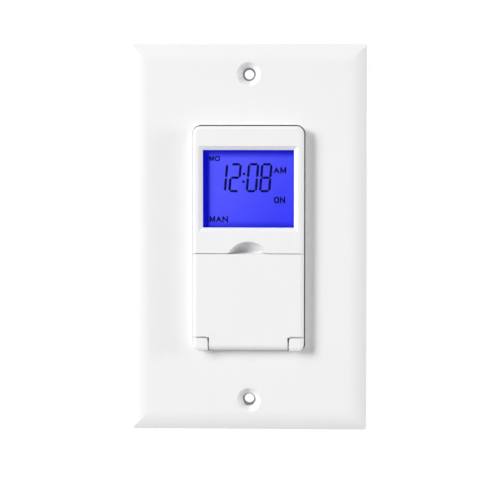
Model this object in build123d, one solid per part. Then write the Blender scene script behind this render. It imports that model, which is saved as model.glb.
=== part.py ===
from build123d import *
import os
from math import sqrt

# In-wall timer switch: a decorator-size programmable timer in a one-gang wall plate.
# Every piece is modelled lying on its back: x across, y up the wall, z out of the wall,
# with z = 0 on the wall face and the origin at the centre of the box screw pattern.
# stand() turns a finished piece upright, so that +Z is up and the front faces -Y.
# All sizes are in millimetres.

# Wall plate
PLATE_WIDTH = 69.85
PLATE_HEIGHT = 114.3
PLATE_DEPTH = 5.6
PLATE_WALL = 2.0
PLATE_CORNER = 0.9
BEVEL_WIDTH = 5.0
BEVEL_DROP = 1.2
PLATE_EDGE_ROUND = 0.3
PLATE_SCREW_EDGE = 8.75
PLATE_SCREW_HOLE_R = 2.0
COUNTERSINK_R = 3.6
COUNTERSINK_DEPTH = 1.7
PLATE_BOSS_R = 4.4
COLLAR_WALL = 1.2
COLLAR_CLEARANCE = 0.1
RIB_WALL = 1.0
RIB_PITCH = 22.0
RIB_CLEARANCE = 0.4

# Face of the timer
FACE_WIDTH = 32.8
FACE_HEIGHT = 66.3
FACE_GAP = 0.35
FACE_RISE = 3.8
FACE_THICK = 1.8
TOP_CORNER = 2.4
BOTTOM_CORNER = 1.6
EDGE_BEVEL_WIDTH = 0.9
EDGE_BEVEL_DROP = 0.3
EDGE_ROUND = 0.2
SIDE_WALL = 1.4

# Display window, lens and liquid crystal display
WINDOW_SIDE_MARGIN = 2.95
WINDOW_TOP_MARGIN = 7.0
WINDOW_BOTTOM_MARGIN = 7.55
WINDOW_BEVEL = 1.2
WINDOW_BEVEL_DEPTH = 0.8
LENS_THICK = 1.0
LENS_LAP = 0.8
LENS_CLEARANCE = 0.1
LENS_FENCE = 0.6
LCD_THICK = 1.8
LCD_LAP = 0.65
STACK_CLEARANCE = 0.05
LCD_FRAME_WALL = 0.6
LED_SIZE = (3.0, 1.0, 1.6)
LED_SPACING = 14.0
GUIDE_MARGIN = 0.3
CONTACT_STRIP_WIDTH = 1.6

# Door and its hinge
DOOR_HEIGHT = 28.85
SPLIT_GAP = 0.2
DOOR_THICK = 1.3
DOOR_SEAT_GAP = 0.05
BARREL_R = 1.8
BARREL_CLEARANCE = 0.2
BARREL_WALL = 1.2
HINGE_PIN_R = 0.75
HINGE_PIN_LENGTH = 1.8
HINGE_PIN_CLEARANCE = 0.05
HINGE_END_GAP = 0.2
BLOCK_WIDTH = 4.35
BLOCK_HEIGHT = 3.75
BLOCK_CORNER = 0.8
BLOCK_GAP = 0.45
DOOR_SWING_CLEARANCE = 0.15
TONGUE_WIDTH = 6.0
TONGUE_THICK = 1.0
TONGUE_INSET = 0.8
TONGUE_LENGTH = 2.4
TONGUE_CLEARANCE = 0.25
SCOOP_HALF_WIDTH = 6.0
SCOOP_HEIGHT = 3.5
SCOOP_SPHERE_RISE = 2.0
SCOOP_WALL = 0.8

# Keys under the door
FLOOR_THICK = 1.2
TRAY_END_RIB = 0.75
KEY_HEIGHT = 4.0
KEY_SIDE_MARGIN = 2.0
KEY_BOTTOM_MARGIN = 4.1
KEY_SPACING = 2.2
KEY_CORNER = 0.8
KEY_CHAMFER = 0.35
KEY_RISE = 0.9
KEY_GAP = 0.2
KEY_FLANGE = 0.7
KEY_FLANGE_THICK = 0.8
KEY_TRAVEL = 0.4
KEY_CLEARANCE = 0.05
KEY_PITCH_Y = 6.2
ON_OFF_HEIGHT = 6.4
ON_OFF_RISE = 7.4
ON_OFF_MARGIN = 2.4
RESET_R = 1.2
RESET_MARGIN = 3.0
RESET_SPACING = 5.0
RESET_SINK = 0.3
SWITCH_BODY = 3.0
SWITCH_BODY_HEIGHT = 1.2
SWITCH_STEM_R = 0.7
SWITCH_HEIGHT = 1.5
KEY_ROWS = (
    ("program_key", "day_key", "clock_key"),
    ("mode_key", "hour_key", "minute_key"),
)

# Mounting strap
STRAP_THICK = 1.2
STRAP_SIDE_REACH = 0.5
STRAP_END_REACH = 2.2
STRAP_CORNER = 1.5
STRAP_END_INSET = 4.4
TAB_WIDTH = 16.0
EAR_WIDTH = 7.0
EAR_HEIGHT = 8.4
EAR_SLIT = 0.8
EAR_BRIDGE = 1.3
EAR_HOLE_R = 2.0
BOX_SCREW_INSET = 6.75
BOX_SLOT_LENGTH = 6.6
BOX_SLOT_WIDTH = 4.0
PLATE_THREAD_R = 1.4
SHEET_MARGIN = 0.7
SHEET_END_MARGIN = 4.45
STRAP_WINDOW_CORNER = 2.0
GROUND_TAB_WIDTH = 8.0
GROUND_TAB_LENGTH = 9.0
GROUND_TAB_INSET = 5.5
GROUND_SCREW_R = 2.0
GROUND_SCREW_HEAD_R = 3.4
GROUND_SCREW_HEAD = 2.1
GROUND_SCREW_TAIL = 0.5
GROUND_HOLE_CLEARANCE = 0.05

# Rear housing and its screws
HOUSING_WIDTH = 41.0
HOUSING_DEPTH = 31.0
SHOULDER_DEPTH = 7.5
HOUSING_WALL = 2.0
HOUSING_CORNER = 2.5
HOUSING_BACK_CHAMFER = 1.6
BOSS_SIDE_INSET = 0.8
BOSS_END_INSET = 0.05
SCREW_R = 1.3
SCREW_CLEARANCE = 0.15
SCREW_GRIP_CLEARANCE = 0.02
SCREW_BITE = 4.0
SCREW_HEAD_R = 2.3
SCREW_HEAD = 1.7
SCREW_HEAD_CLEARANCE = 1.4
SCREW_CROSS = (0.6, 2.6, 0.9)
BEZEL_BOSS_R = 2.2
HOUSING_BOSS_R = 2.7
LEAD_EXIT_R = 2.0
LEAD_EXIT_PITCH = 9.0
LEAD_EXIT_INSET = 7.2
LEAD_EXIT_COLLAR = 1.5
LEAD_EXIT_COLLAR_WALL = 1.2
LEAD_EXITS = 4

# Circuit boards and what they carry
SHEET_THICK = 0.2
BOARD_THICK = 1.2
BOARD_CLEARANCE = 0.3
POWER_BOARD_THICK = 1.6
HEADER_PINS = 6
HEADER_PITCH = 2.54
HEADER_PIN = 0.64
HEADER_BODY = 2.5
HEADER_TAIL = 0.5
HEADER_HOLE_CLEARANCE = 0.1
HEADER_DROP = 4.1
CHIP_SIZE = (10.0, 10.0, 1.4)
CHIP_INSET = 2.5
CHIP_Y = 13.0
CHIP_ROUND = 0.3
CRYSTAL_R = 1.0
CRYSTAL_LENGTH = 6.0
CRYSTAL_GAP = 2.0
CELL_R = 5.4
CELL_THICK = 4.6
CELL_INSET = 1.6
CELL_RIM = 0.5
PART_INSET = 1.5
PART_GAP = 0.8
RELAY_SIZE = (20.0, 15.6, 20.0)
RELAY_ROUND = 0.8
FILM_CAPACITOR_SIZE = (18.0, 8.5, 15.0)
CANS = 2
CAN_R = 3.15
CAN_HEIGHT = 12.0
CAN_RIM = 0.4
RIGHT_COLUMN_INSET = 6.5
VARISTOR_R = 4.8
VARISTOR_THICK = 3.8
VARISTOR_BEVEL = 0.8
FUSE_R = 1.7
FUSE_LENGTH = 9.0
FUSE_GAP = 5.0
BRIDGE_SIZE = (6.5, 8.4, 3.3)
BRIDGE_BEVEL = 0.5
BRIDGE_LEG = (1.4, 1.0, 0.4)
BRIDGE_LEG_PITCH = 5.1
LEAD_TAB_SIZE = (4.0, 0.8, 6.0)
WIRE_R = 0.35

# Levels and places worked out from the sizes above
PLATE_SCREW_SPACING = PLATE_HEIGHT - 2 * PLATE_SCREW_EDGE
BOX_SCREW_SPACING = PLATE_SCREW_SPACING - 2 * BOX_SCREW_INSET
BEVEL_R = (BEVEL_WIDTH**2 + BEVEL_DROP**2) / (2 * BEVEL_DROP)
BEVEL_CENTRE_Z = PLATE_DEPTH - BEVEL_R
FACE_Z = PLATE_DEPTH + FACE_RISE
DOOR_BACK_Z = FACE_Z - DOOR_THICK
RIM_Z = DOOR_BACK_Z - DOOR_SEAT_GAP
HINGE_Z = FACE_Z - BARREL_R
HINGE_Y = -FACE_HEIGHT / 2 + BARREL_R
TROUGH_R = BARREL_R + BARREL_CLEARANCE
SPLIT_Y = -FACE_HEIGHT / 2 + DOOR_HEIGHT
BLOCK_X = FACE_WIDTH / 2 - BLOCK_WIDTH
BLOCK_TOP_Y = -FACE_HEIGHT / 2 + BLOCK_HEIGHT
BARREL_HALF = BLOCK_X - HINGE_END_GAP
INNER_HALF_WIDTH = FACE_WIDTH / 2 - SIDE_WALL
INNER_HALF_HEIGHT = FACE_HEIGHT / 2 - SIDE_WALL

SHEET_Z = STRAP_THICK
BOARD_Z = SHEET_Z + SHEET_THICK
BOARD_FRONT_Z = BOARD_Z + BOARD_THICK
BOARD_SIZE = (2 * (INNER_HALF_WIDTH - BOARD_CLEARANCE), 2 * (INNER_HALF_HEIGHT - BOARD_CLEARANCE))
STRAP_WINDOW = (BOARD_SIZE[0] - 2 * SHEET_MARGIN, BOARD_SIZE[1] - 2 * SHEET_END_MARGIN)

WINDOW_WIDTH = FACE_WIDTH - 2 * WINDOW_SIDE_MARGIN
WINDOW_HEIGHT = FACE_HEIGHT / 2 - SPLIT_Y - WINDOW_TOP_MARGIN - WINDOW_BOTTOM_MARGIN
WINDOW_CENTRE_Y = FACE_HEIGHT / 2 - WINDOW_TOP_MARGIN - WINDOW_HEIGHT / 2
LENS_FRONT_Z = FACE_Z - FACE_THICK
LENS_BACK_Z = LENS_FRONT_Z - LENS_THICK
LENS_SIZE = (WINDOW_WIDTH + 2 * LENS_LAP, WINDOW_HEIGHT + 2 * LENS_LAP)
LCD_FRONT_Z = LENS_BACK_Z - STACK_CLEARANCE
LCD_BACK_Z = LCD_FRONT_Z - LCD_THICK
LCD_SIZE = (WINDOW_WIDTH + 2 * LCD_LAP, WINDOW_HEIGHT + 2 * LCD_LAP)
LCD_BOTTOM_Y = WINDOW_CENTRE_Y - LCD_SIZE[1] / 2
LCD_TOP_Y = WINDOW_CENTRE_Y + LCD_SIZE[1] / 2

FLANGE_BACK_Z = BOARD_FRONT_Z + SWITCH_HEIGHT + KEY_TRAVEL + KEY_CLEARANCE
FLOOR_BACK_Z = FLANGE_BACK_Z + KEY_FLANGE_THICK + KEY_CLEARANCE
FLOOR_Z = FLOOR_BACK_Z + FLOOR_THICK
KEY_TOP_Z = FLOOR_Z + KEY_RISE
TRAY_BOTTOM_Y = HINGE_Y + TROUGH_R + TRAY_END_RIB
KEY_COLUMNS = len(KEY_ROWS[0])
KEY_WIDTH = (2 * (INNER_HALF_WIDTH - KEY_SIDE_MARGIN) - (KEY_COLUMNS - 1) * KEY_SPACING) / KEY_COLUMNS
KEY_PITCH_X = KEY_WIDTH + KEY_SPACING
KEY_TOP_ROW_Y = TRAY_BOTTOM_Y + KEY_BOTTOM_MARGIN + (len(KEY_ROWS) - 1) * KEY_PITCH_Y
RESET_X = INNER_HALF_WIDTH - RESET_MARGIN
RESET_Y = KEY_TOP_ROW_Y + ON_OFF_RISE
ON_OFF_WIDTH = RESET_X - RESET_SPACING + INNER_HALF_WIDTH - ON_OFF_MARGIN
ON_OFF_X = RESET_X - RESET_SPACING - ON_OFF_WIDTH / 2
ON_OFF_Y = RESET_Y

SCREW_X = FACE_WIDTH / 2 - BEZEL_BOSS_R - BOSS_SIDE_INSET
SCREW_Y = FACE_HEIGHT / 2 - BEZEL_BOSS_R - BOSS_END_INSET
SCREW_POINTS = [(sx * SCREW_X, sy * SCREW_Y) for sx in (-1, 1) for sy in (-1, 1)]
HOUSING_HEIGHT = 2 * (SCREW_Y + SCREW_HEAD_R)
HOUSING_BODY_HEIGHT = 2 * (SCREW_Y - SCREW_HEAD_R - SCREW_HEAD_CLEARANCE)
STRAP_WIDTH = HOUSING_WIDTH + 2 * STRAP_SIDE_REACH
STRAP_HEIGHT = HOUSING_HEIGHT + 2 * STRAP_END_REACH
STRAP_LENGTH = PLATE_HEIGHT - 2 * STRAP_END_INSET
GROUND_TAB_X = GROUND_TAB_INSET - STRAP_WIDTH / 2
LEAD_EXIT_Y = LEAD_EXIT_INSET - HOUSING_BODY_HEIGHT / 2

POWER_BOARD_BACK_Z = -(SHOULDER_DEPTH - HOUSING_WALL)
POWER_BOARD_FRONT_Z = POWER_BOARD_BACK_Z + POWER_BOARD_THICK
HEADER_Y = LCD_BOTTOM_Y - HEADER_DROP
CELL_PLACE = (CELL_R + CELL_INSET - STRAP_WINDOW[0] / 2, CHIP_Y)
CHIP_PLACE = (STRAP_WINDOW[0] / 2 - CHIP_INSET - CHIP_SIZE[0] / 2, CHIP_Y)
CRYSTAL_PLACE = (CHIP_PLACE[0], CHIP_Y - CHIP_SIZE[1] / 2 - CRYSTAL_GAP - CRYSTAL_R)
PART_HALF_WIDTH = HOUSING_WIDTH / 2 - HOUSING_WALL
PART_HALF_HEIGHT = HOUSING_BODY_HEIGHT / 2 - HOUSING_WALL
LEFT_X = PART_INSET - PART_HALF_WIDTH
RIGHT_X = PART_HALF_WIDTH - RIGHT_COLUMN_INSET
RELAY_PLACE = (
    LEFT_X + RELAY_SIZE[0] / 2,
    LEAD_EXIT_Y + LEAD_TAB_SIZE[1] / 2 + PART_GAP + RELAY_SIZE[1] / 2,
)
FILM_CAPACITOR_PLACE = (
    LEFT_X + FILM_CAPACITOR_SIZE[0] / 2,
    PART_HALF_HEIGHT - 2 * PART_INSET - FILM_CAPACITOR_SIZE[1] / 2,
)
FUSE_PLACE = (
    RELAY_PLACE[0],
    FILM_CAPACITOR_PLACE[1] - FILM_CAPACITOR_SIZE[1] / 2 - FUSE_GAP - FUSE_R,
)
COLUMN_TOP = PART_HALF_HEIGHT - 2 * PART_INSET
CAN_YS = [COLUMN_TOP - CAN_R - i * (2 * CAN_R + PART_GAP) for i in range(CANS)]
COLUMN_ROOM = CAN_YS[-1] - CAN_R - LEAD_EXIT_Y - LEAD_TAB_SIZE[1] / 2
COLUMN_GAP = (COLUMN_ROOM - 2 * VARISTOR_R - BRIDGE_SIZE[1]) / 3
VARISTOR_PLACE = (RIGHT_X, CAN_YS[-1] - CAN_R - COLUMN_GAP - VARISTOR_R)
BRIDGE_PLACE = (RIGHT_X, VARISTOR_PLACE[1] - VARISTOR_R - COLUMN_GAP - BRIDGE_SIZE[1] / 2)


def key_places():
    """The centre of each small key, by name, in rows from the top."""
    return {
        name: ((column - (KEY_COLUMNS - 1) / 2) * KEY_PITCH_X, KEY_TOP_ROW_Y - row * KEY_PITCH_Y)
        for row, names in enumerate(KEY_ROWS)
        for column, name in enumerate(names)
    }


def stand(shape):
    """Turns a piece modelled on its back upright, with its front to -Y."""
    return Rot(90, 0, 0) * shape


def slab(sketch, low, high, x=0.0, y=0.0):
    """A sketch extruded from one level to another."""
    return Pos(x, y, low) * extrude(sketch, high - low)


def block(size, x, y, low):
    """A box centred on x and y that stands on the level low."""
    return Pos(x, y, low) * Box(*size, align=(Align.CENTER, Align.CENTER, Align.MIN))


def span_box(xs, ys, zs):
    """A box between two limits on each axis."""
    return Pos(xs[0], ys[0], zs[0]) * Box(
        xs[1] - xs[0], ys[1] - ys[0], zs[1] - zs[0], align=(Align.MIN, Align.MIN, Align.MIN)
    )


def post(radius, low, high, x=0.0, y=0.0):
    """A cylinder along z from one level to another."""
    return Pos(x, y, low) * Cylinder(radius, high - low, align=(Align.CENTER, Align.CENTER, Align.MIN))


def rod_x(radius, x_from, x_to, y, z):
    """A cylinder along x."""
    return Pos(x_from, y, z) * Rot(0, 90, 0) * Cylinder(
        radius, x_to - x_from, align=(Align.CENTER, Align.CENTER, Align.MIN)
    )


def face_outline(grow=0.0):
    """The outline of the timer's face, grown all round by a margin."""
    sketch = Rectangle(FACE_WIDTH + 2 * grow, FACE_HEIGHT + 2 * grow)
    sketch = fillet(sketch.vertices().group_by(Axis.Y)[-1], TOP_CORNER + grow)
    return fillet(sketch.vertices().group_by(Axis.Y)[0], BOTTOM_CORNER + grow)


def bevelled_profile(half_span, radius, wall):
    """A plate's cross-section: upright rim, round bevel and flat top, set in by a wall."""
    bevel_start = half_span - BEVEL_WIDTH
    edge = half_span - wall
    rim = BEVEL_CENTRE_Z + sqrt(radius**2 - (edge - bevel_start) ** 2)
    top = BEVEL_CENTRE_Z + radius
    middle = (edge + bevel_start) / 2
    arc_z = BEVEL_CENTRE_Z + sqrt(radius**2 - (middle - bevel_start) ** 2)
    outline = Polyline((-edge, rim), (-edge, 0), (edge, 0), (edge, rim))
    outline += ThreePointArc((edge, rim), (middle, arc_z), (bevel_start, top))
    outline += Line((bevel_start, top), (-bevel_start, top))
    outline += ThreePointArc((-bevel_start, top), (-middle, arc_z), (-edge, rim))
    return make_face(outline)


def bevelled_block(wall):
    """The plate's outer form, or its hollow when set in by a wall: two profiles crossed,
    which mitres the round bevel at each corner."""
    radius = BEVEL_R - wall
    across = Plane.XZ * bevelled_profile(PLATE_WIDTH / 2, radius, wall)
    along = Plane.YZ * bevelled_profile(PLATE_HEIGHT / 2, radius, wall)
    return extrude(across, PLATE_HEIGHT, both=True) & extrude(along, PLATE_WIDTH, both=True)


def make_wall_plate():
    """Wall plate: bevelled shell with the decorator opening, a collar round it, stiffening
    ribs and two countersunk screw bosses that seat on the strap."""
    outer = bevelled_block(0.0)
    outer = fillet(outer.edges().filter_by(Axis.Z), PLATE_CORNER)
    rim_z = PLATE_DEPTH - BEVEL_DROP
    rim = outer.edges().filter_by_position(Axis.Z, rim_z - PLATE_EDGE_ROUND, rim_z + BEVEL_DROP / 3)
    outer = fillet(rim, PLATE_EDGE_ROUND)
    inside_z = PLATE_DEPTH - PLATE_WALL
    hollow = bevelled_block(PLATE_WALL)
    plate = outer - hollow
    collar_z = STRAP_THICK + COLLAR_CLEARANCE
    plate += slab(face_outline(FACE_GAP + COLLAR_WALL), collar_z, inside_z)
    rib_z = STRAP_THICK + RIB_CLEARANCE
    across = (-PLATE_WIDTH / 2, PLATE_WIDTH / 2)
    ribs = [
        span_box(across, (y - RIB_WALL / 2, y + RIB_WALL / 2), (rib_z, inside_z))
        for y in (-RIB_PITCH, 0, RIB_PITCH)
    ]
    plate += [rib & hollow for rib in ribs]
    plate -= slab(face_outline(FACE_GAP), 0, PLATE_DEPTH)
    for side in (-1, 1):
        y = side * PLATE_SCREW_SPACING / 2
        plate += post(PLATE_BOSS_R, STRAP_THICK, inside_z, y=y)
        plate -= post(PLATE_SCREW_HOLE_R, 0, PLATE_DEPTH, y=y)
        plate -= Pos(0, y, PLATE_DEPTH) * Cone(
            PLATE_SCREW_HOLE_R,
            COUNTERSINK_R,
            COUNTERSINK_DEPTH,
            align=(Align.CENTER, Align.CENTER, Align.MAX),
        )
    return plate


def make_strap():
    """Steel mounting strap: window for the boards, tabs with the box screw slots and the
    tapped plate screw holes, break-off ears on two bridges each, and a bent ground tab."""
    outline = RectangleRounded(STRAP_WIDTH, STRAP_HEIGHT, STRAP_CORNER)
    outline += RectangleRounded(TAB_WIDTH, STRAP_LENGTH, STRAP_CORNER)
    ear_x = TAB_WIDTH / 2 + EAR_SLIT + EAR_WIDTH / 2
    ear_y = STRAP_LENGTH / 2 - EAR_HEIGHT / 2
    bridge_y = EAR_HEIGHT / 2 - EAR_BRIDGE
    for sx in (-1, 1):
        for sy in (-1, 1):
            ear = Pos(sx * ear_x, sy * ear_y) * RectangleRounded(EAR_WIDTH, EAR_HEIGHT, STRAP_CORNER)
            hole = Pos(sx * ear_x, sy * ear_y) * Circle(EAR_HOLE_R)
            bridge_x = sx * (TAB_WIDTH / 2 + EAR_SLIT / 2)
            bridges = [
                Pos(bridge_x, sy * ear_y + way * (bridge_y - EAR_BRIDGE / 2))
                * Rectangle(3 * EAR_SLIT, EAR_BRIDGE)
                for way in (-1, 1)
            ]
            outline = outline + ear + bridges - hole
    outline -= RectangleRounded(*STRAP_WINDOW, STRAP_WINDOW_CORNER)
    for side in (-1, 1):
        outline -= Pos(0, side * BOX_SCREW_SPACING / 2) * SlotOverall(BOX_SLOT_LENGTH, BOX_SLOT_WIDTH)
        outline -= Pos(0, side * PLATE_SCREW_SPACING / 2) * Circle(PLATE_THREAD_R)
    for x, y in SCREW_POINTS:
        outline -= Pos(x, y) * Circle(SCREW_R + SCREW_CLEARANCE)
    strap = slab(outline, 0, STRAP_THICK)
    edge_y = -STRAP_HEIGHT / 2
    tab = span_box(
        (GROUND_TAB_X - GROUND_TAB_WIDTH / 2, GROUND_TAB_X + GROUND_TAB_WIDTH / 2),
        (edge_y, edge_y + STRAP_THICK),
        (-GROUND_TAB_LENGTH, 0),
    )
    tab = fillet(tab.edges().filter_by(Axis.Y).group_by(Axis.Z)[0], STRAP_CORNER)
    hole = Pos(GROUND_TAB_X, edge_y, -GROUND_TAB_LENGTH / 2) * Rot(-90, 0, 0) * Cylinder(
        GROUND_SCREW_R + GROUND_HOLE_CLEARANCE, STRAP_THICK, align=(Align.CENTER, Align.CENTER, Align.MIN)
    )
    return strap + tab - hole


def make_ground_screw():
    """Green hexagon-head ground screw in the strap's bent tab, slotted for a driver."""
    head = extrude(RegularPolygon(GROUND_SCREW_HEAD_R, 6), GROUND_SCREW_HEAD)
    head = chamfer(head.edges().group_by(Axis.Z)[-1], GROUND_SCREW_HEAD / 7)
    slot = Box(3 * GROUND_SCREW_HEAD_R, GROUND_SCREW_HEAD / 3, GROUND_SCREW_HEAD / 2)
    head -= Pos(0, 0, GROUND_SCREW_HEAD) * slot
    screw = head + post(GROUND_SCREW_R, -(STRAP_THICK + GROUND_SCREW_TAIL), 0)
    return Pos(GROUND_TAB_X, -STRAP_HEIGHT / 2, -GROUND_TAB_LENGTH / 2) * Rot(90, 0, 0) * screw


def block_zone(side, grow=0.0):
    """The outline of one hinge corner block, grown by the gap to the door."""
    inner = BLOCK_X - grow
    outer = FACE_WIDTH / 2 + TOP_CORNER
    top = BLOCK_TOP_Y + grow
    bottom = -FACE_HEIGHT / 2 - TOP_CORNER
    zone = Rectangle(outer - inner, top - bottom, align=(Align.MIN, Align.MIN))
    corner = zone.vertices().group_by(Axis.Y)[-1].sort_by(Axis.X)[0]
    zone = Pos(inner, bottom) * fillet(corner, BLOCK_CORNER + grow)
    return zone if side > 0 else mirror(zone, about=Plane.YZ)


def face_body():
    """The timer's whole front form with its shallow edge bevel, before door and tray are cut."""
    edge_z = FACE_Z - EDGE_BEVEL_DROP
    body = slab(face_outline(), STRAP_THICK, edge_z)
    rings = [Pos(0, 0, edge_z) * face_outline(), Pos(0, 0, FACE_Z) * face_outline(-EDGE_BEVEL_WIDTH)]
    body += loft(rings, ruled=True)
    return fillet(body.edges().group_by(Axis.Z)[-3], EDGE_ROUND)


def wide(ys, zs):
    """A box across more than the whole face, between two limits up it and in depth."""
    return span_box((-FACE_WIDTH, FACE_WIDTH), ys, zs)


def hinge_cut():
    """The room that the door's barrel and lower edge turn in, between the corner blocks."""
    below = -FACE_HEIGHT / 2 - BARREL_R
    trough = rod_x(TROUGH_R, -BLOCK_X, BLOCK_X, HINGE_Y, HINGE_Z)
    front = span_box((-BLOCK_X, BLOCK_X), (below, HINGE_Y + TROUGH_R), (RIM_Z, FACE_Z + BARREL_R))
    under = span_box((-BLOCK_X, BLOCK_X), (below, HINGE_Y), (PLATE_DEPTH, FACE_Z + BARREL_R))
    return trough + front + under


def window_cut():
    """The display window: a straight-sided hole under a wide bevelled mouth."""
    hole = Rectangle(WINDOW_WIDTH, WINDOW_HEIGHT)
    mouth = Rectangle(WINDOW_WIDTH + 2 * WINDOW_BEVEL, WINDOW_HEIGHT + 2 * WINDOW_BEVEL)
    bevel_z = FACE_Z - WINDOW_BEVEL_DEPTH
    straight = slab(hole, LENS_FRONT_Z - FACE_THICK, FACE_Z)
    bevel = loft([Pos(0, 0, bevel_z) * hole, Pos(0, 0, FACE_Z) * mouth], ruled=True)
    return Pos(0, WINDOW_CENTRE_Y, 0) * (straight + bevel)


def scoop_ball(grow=0.0):
    """The ball of the finger scoop above the door: its rim on the face is an arc of the
    stated height over the stated half width at the split. Grown, it is the bowl's back."""
    rim_r = (SCOOP_HALF_WIDTH**2 + SCOOP_HEIGHT**2) / (2 * SCOOP_HEIGHT)
    ball_r = sqrt(rim_r**2 + SCOOP_SPHERE_RISE**2)
    return Pos(0, SPLIT_Y + SCOOP_HEIGHT - rim_r, FACE_Z + SCOOP_SPHERE_RISE) * Sphere(ball_r + grow)


def key_outline(width, height, grow=0.0):
    """A key's rounded outline, grown for its hole or its flange."""
    return RectangleRounded(width + 2 * grow, height + 2 * grow, KEY_CORNER + grow)


def make_bezel():
    """Front bezel: one moulding with the display window, finger scoop, key tray, hinge
    blocks with pin sockets, lens fence and the four screw bosses."""
    bezel = face_body()
    below = -FACE_HEIGHT / 2 - BARREL_R
    door_room = wide((below, SPLIT_Y), (RIM_Z, FACE_Z + BARREL_R))
    for side in (-1, 1):
        door_room -= slab(block_zone(side), RIM_Z, FACE_Z + BARREL_R)
    bezel -= door_room
    bezel -= hinge_cut()
    bezel -= span_box((-INNER_HALF_WIDTH, INNER_HALF_WIDTH), (TRAY_BOTTOM_Y, SPLIT_Y), (FLOOR_Z, FACE_Z))
    ledge_y = SPLIT_Y + SIDE_WALL
    trough_back = HINGE_Z - TROUGH_R - BARREL_WALL
    open_back = STRAP_THICK - SIDE_WALL
    hollow = span_box(
        (-INNER_HALF_WIDTH, INNER_HALF_WIDTH), (ledge_y, INNER_HALF_HEIGHT), (open_back, LENS_FRONT_Z)
    )
    hollow += span_box(
        (-INNER_HALF_WIDTH, INNER_HALF_WIDTH), (TRAY_BOTTOM_Y, ledge_y), (open_back, FLOOR_BACK_Z)
    )
    hollow += span_box(
        (-INNER_HALF_WIDTH, INNER_HALF_WIDTH), (-INNER_HALF_HEIGHT, TRAY_BOTTOM_Y), (open_back, trough_back)
    )
    bezel -= hollow
    fence = Rectangle(2 * INNER_HALF_WIDTH, LENS_SIZE[1] + 2 * (LENS_CLEARANCE + LENS_FENCE))
    fence -= Rectangle(LENS_SIZE[0] + 2 * LENS_CLEARANCE, LENS_SIZE[1] + 2 * LENS_CLEARANCE)
    bezel += slab(fence, LENS_BACK_Z, LENS_FRONT_Z, y=WINDOW_CENTRE_Y)
    bezel -= window_cut()
    bowl = scoop_ball(SCOOP_WALL)
    bezel += bowl & wide((SPLIT_Y, WINDOW_CENTRE_Y), (BOARD_FRONT_Z, LENS_FRONT_Z))
    bezel += bowl & wide((SPLIT_Y - SCOOP_WALL, SPLIT_Y), (BOARD_FRONT_Z, FLOOR_BACK_Z))
    bezel -= scoop_ball() & wide((SPLIT_Y, WINDOW_CENTRE_Y), (BOARD_FRONT_Z, FACE_Z + BARREL_R))
    for side in (-1, 1):
        socket_end = side * (BARREL_HALF + HINGE_PIN_LENGTH + HINGE_END_GAP)
        low, high = sorted((side * BLOCK_X, socket_end))
        bezel -= rod_x(HINGE_PIN_R + HINGE_PIN_CLEARANCE, low, high, HINGE_Y, HINGE_Z)
    small_hole = key_outline(KEY_WIDTH, KEY_HEIGHT, KEY_GAP)
    for x, y in key_places().values():
        bezel -= slab(small_hole, FLOOR_BACK_Z, FLOOR_Z, x, y)
    wide_hole = key_outline(ON_OFF_WIDTH, ON_OFF_HEIGHT, KEY_GAP)
    bezel -= slab(wide_hole, FLOOR_BACK_Z, FLOOR_Z, ON_OFF_X, ON_OFF_Y)
    bezel -= post(RESET_R + KEY_GAP, FLOOR_BACK_Z, FLOOR_Z, RESET_X, RESET_Y)
    tongue_y = SPLIT_Y - SPLIT_GAP - TONGUE_INSET - TONGUE_THICK / 2
    slot = Rectangle(TONGUE_WIDTH + 2 * TONGUE_CLEARANCE, TONGUE_THICK + 2 * TONGUE_CLEARANCE)
    bezel -= slab(slot, FLOOR_BACK_Z, FLOOR_Z, y=tongue_y)
    for x, y in SCREW_POINTS:
        top = LENS_FRONT_Z if y > 0 else trough_back
        boss = post(BEZEL_BOSS_R, STRAP_THICK, top, x, y) & face_body()
        bezel += boss
        bezel -= post(SCREW_R + SCREW_GRIP_CLEARANCE, STRAP_THICK, STRAP_THICK + SCREW_BITE, x, y)
    return bezel


def make_door():
    """Door over the keys: a panel with rounded sides that ends in a barrel, two hinge pins,
    hollowed wing ends that clear the corner blocks as it swings, and a closing tongue."""
    panel = face_body() & wide((HINGE_Y, SPLIT_Y - SPLIT_GAP), (DOOR_BACK_Z, FACE_Z))
    swing_r = sqrt(BARREL_R**2 + (BLOCK_TOP_Y - HINGE_Y) ** 2) + DOOR_SWING_CLEARANCE
    for side in (-1, 1):
        panel -= slab(block_zone(side, BLOCK_GAP), DOOR_BACK_Z, FACE_Z)
        low, high = sorted((side * (BLOCK_X - BLOCK_GAP), side * FACE_WIDTH))
        panel -= rod_x(swing_r, low, high, HINGE_Y, HINGE_Z)
    door = panel + rod_x(BARREL_R, -(BLOCK_X - BLOCK_GAP), BLOCK_X - BLOCK_GAP, HINGE_Y, HINGE_Z)
    pin_end = BARREL_HALF + HINGE_PIN_LENGTH
    door += rod_x(HINGE_PIN_R, -pin_end, pin_end, HINGE_Y, HINGE_Z)
    tongue_top = SPLIT_Y - SPLIT_GAP - TONGUE_INSET
    tongue = span_box(
        (-TONGUE_WIDTH / 2, TONGUE_WIDTH / 2),
        (tongue_top - TONGUE_THICK, tongue_top),
        (DOOR_BACK_Z - TONGUE_LENGTH, DOOR_BACK_Z),
    )
    tongue = chamfer(tongue.edges().filter_by(Axis.X).group_by(Axis.Z)[0], TONGUE_THICK / 4)
    return door + tongue


def make_key(width, height, x, y):
    """A key cap with a bevelled top edge and a flange that keeps it behind the tray floor."""
    cap = slab(key_outline(width, height), FLANGE_BACK_Z, KEY_TOP_Z)
    cap = chamfer(cap.edges().group_by(Axis.Z)[-1], KEY_CHAMFER)
    flange = slab(key_outline(width, height, KEY_FLANGE), FLANGE_BACK_Z, FLANGE_BACK_Z + KEY_FLANGE_THICK)
    return Pos(x, y, 0) * (cap + flange)


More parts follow.
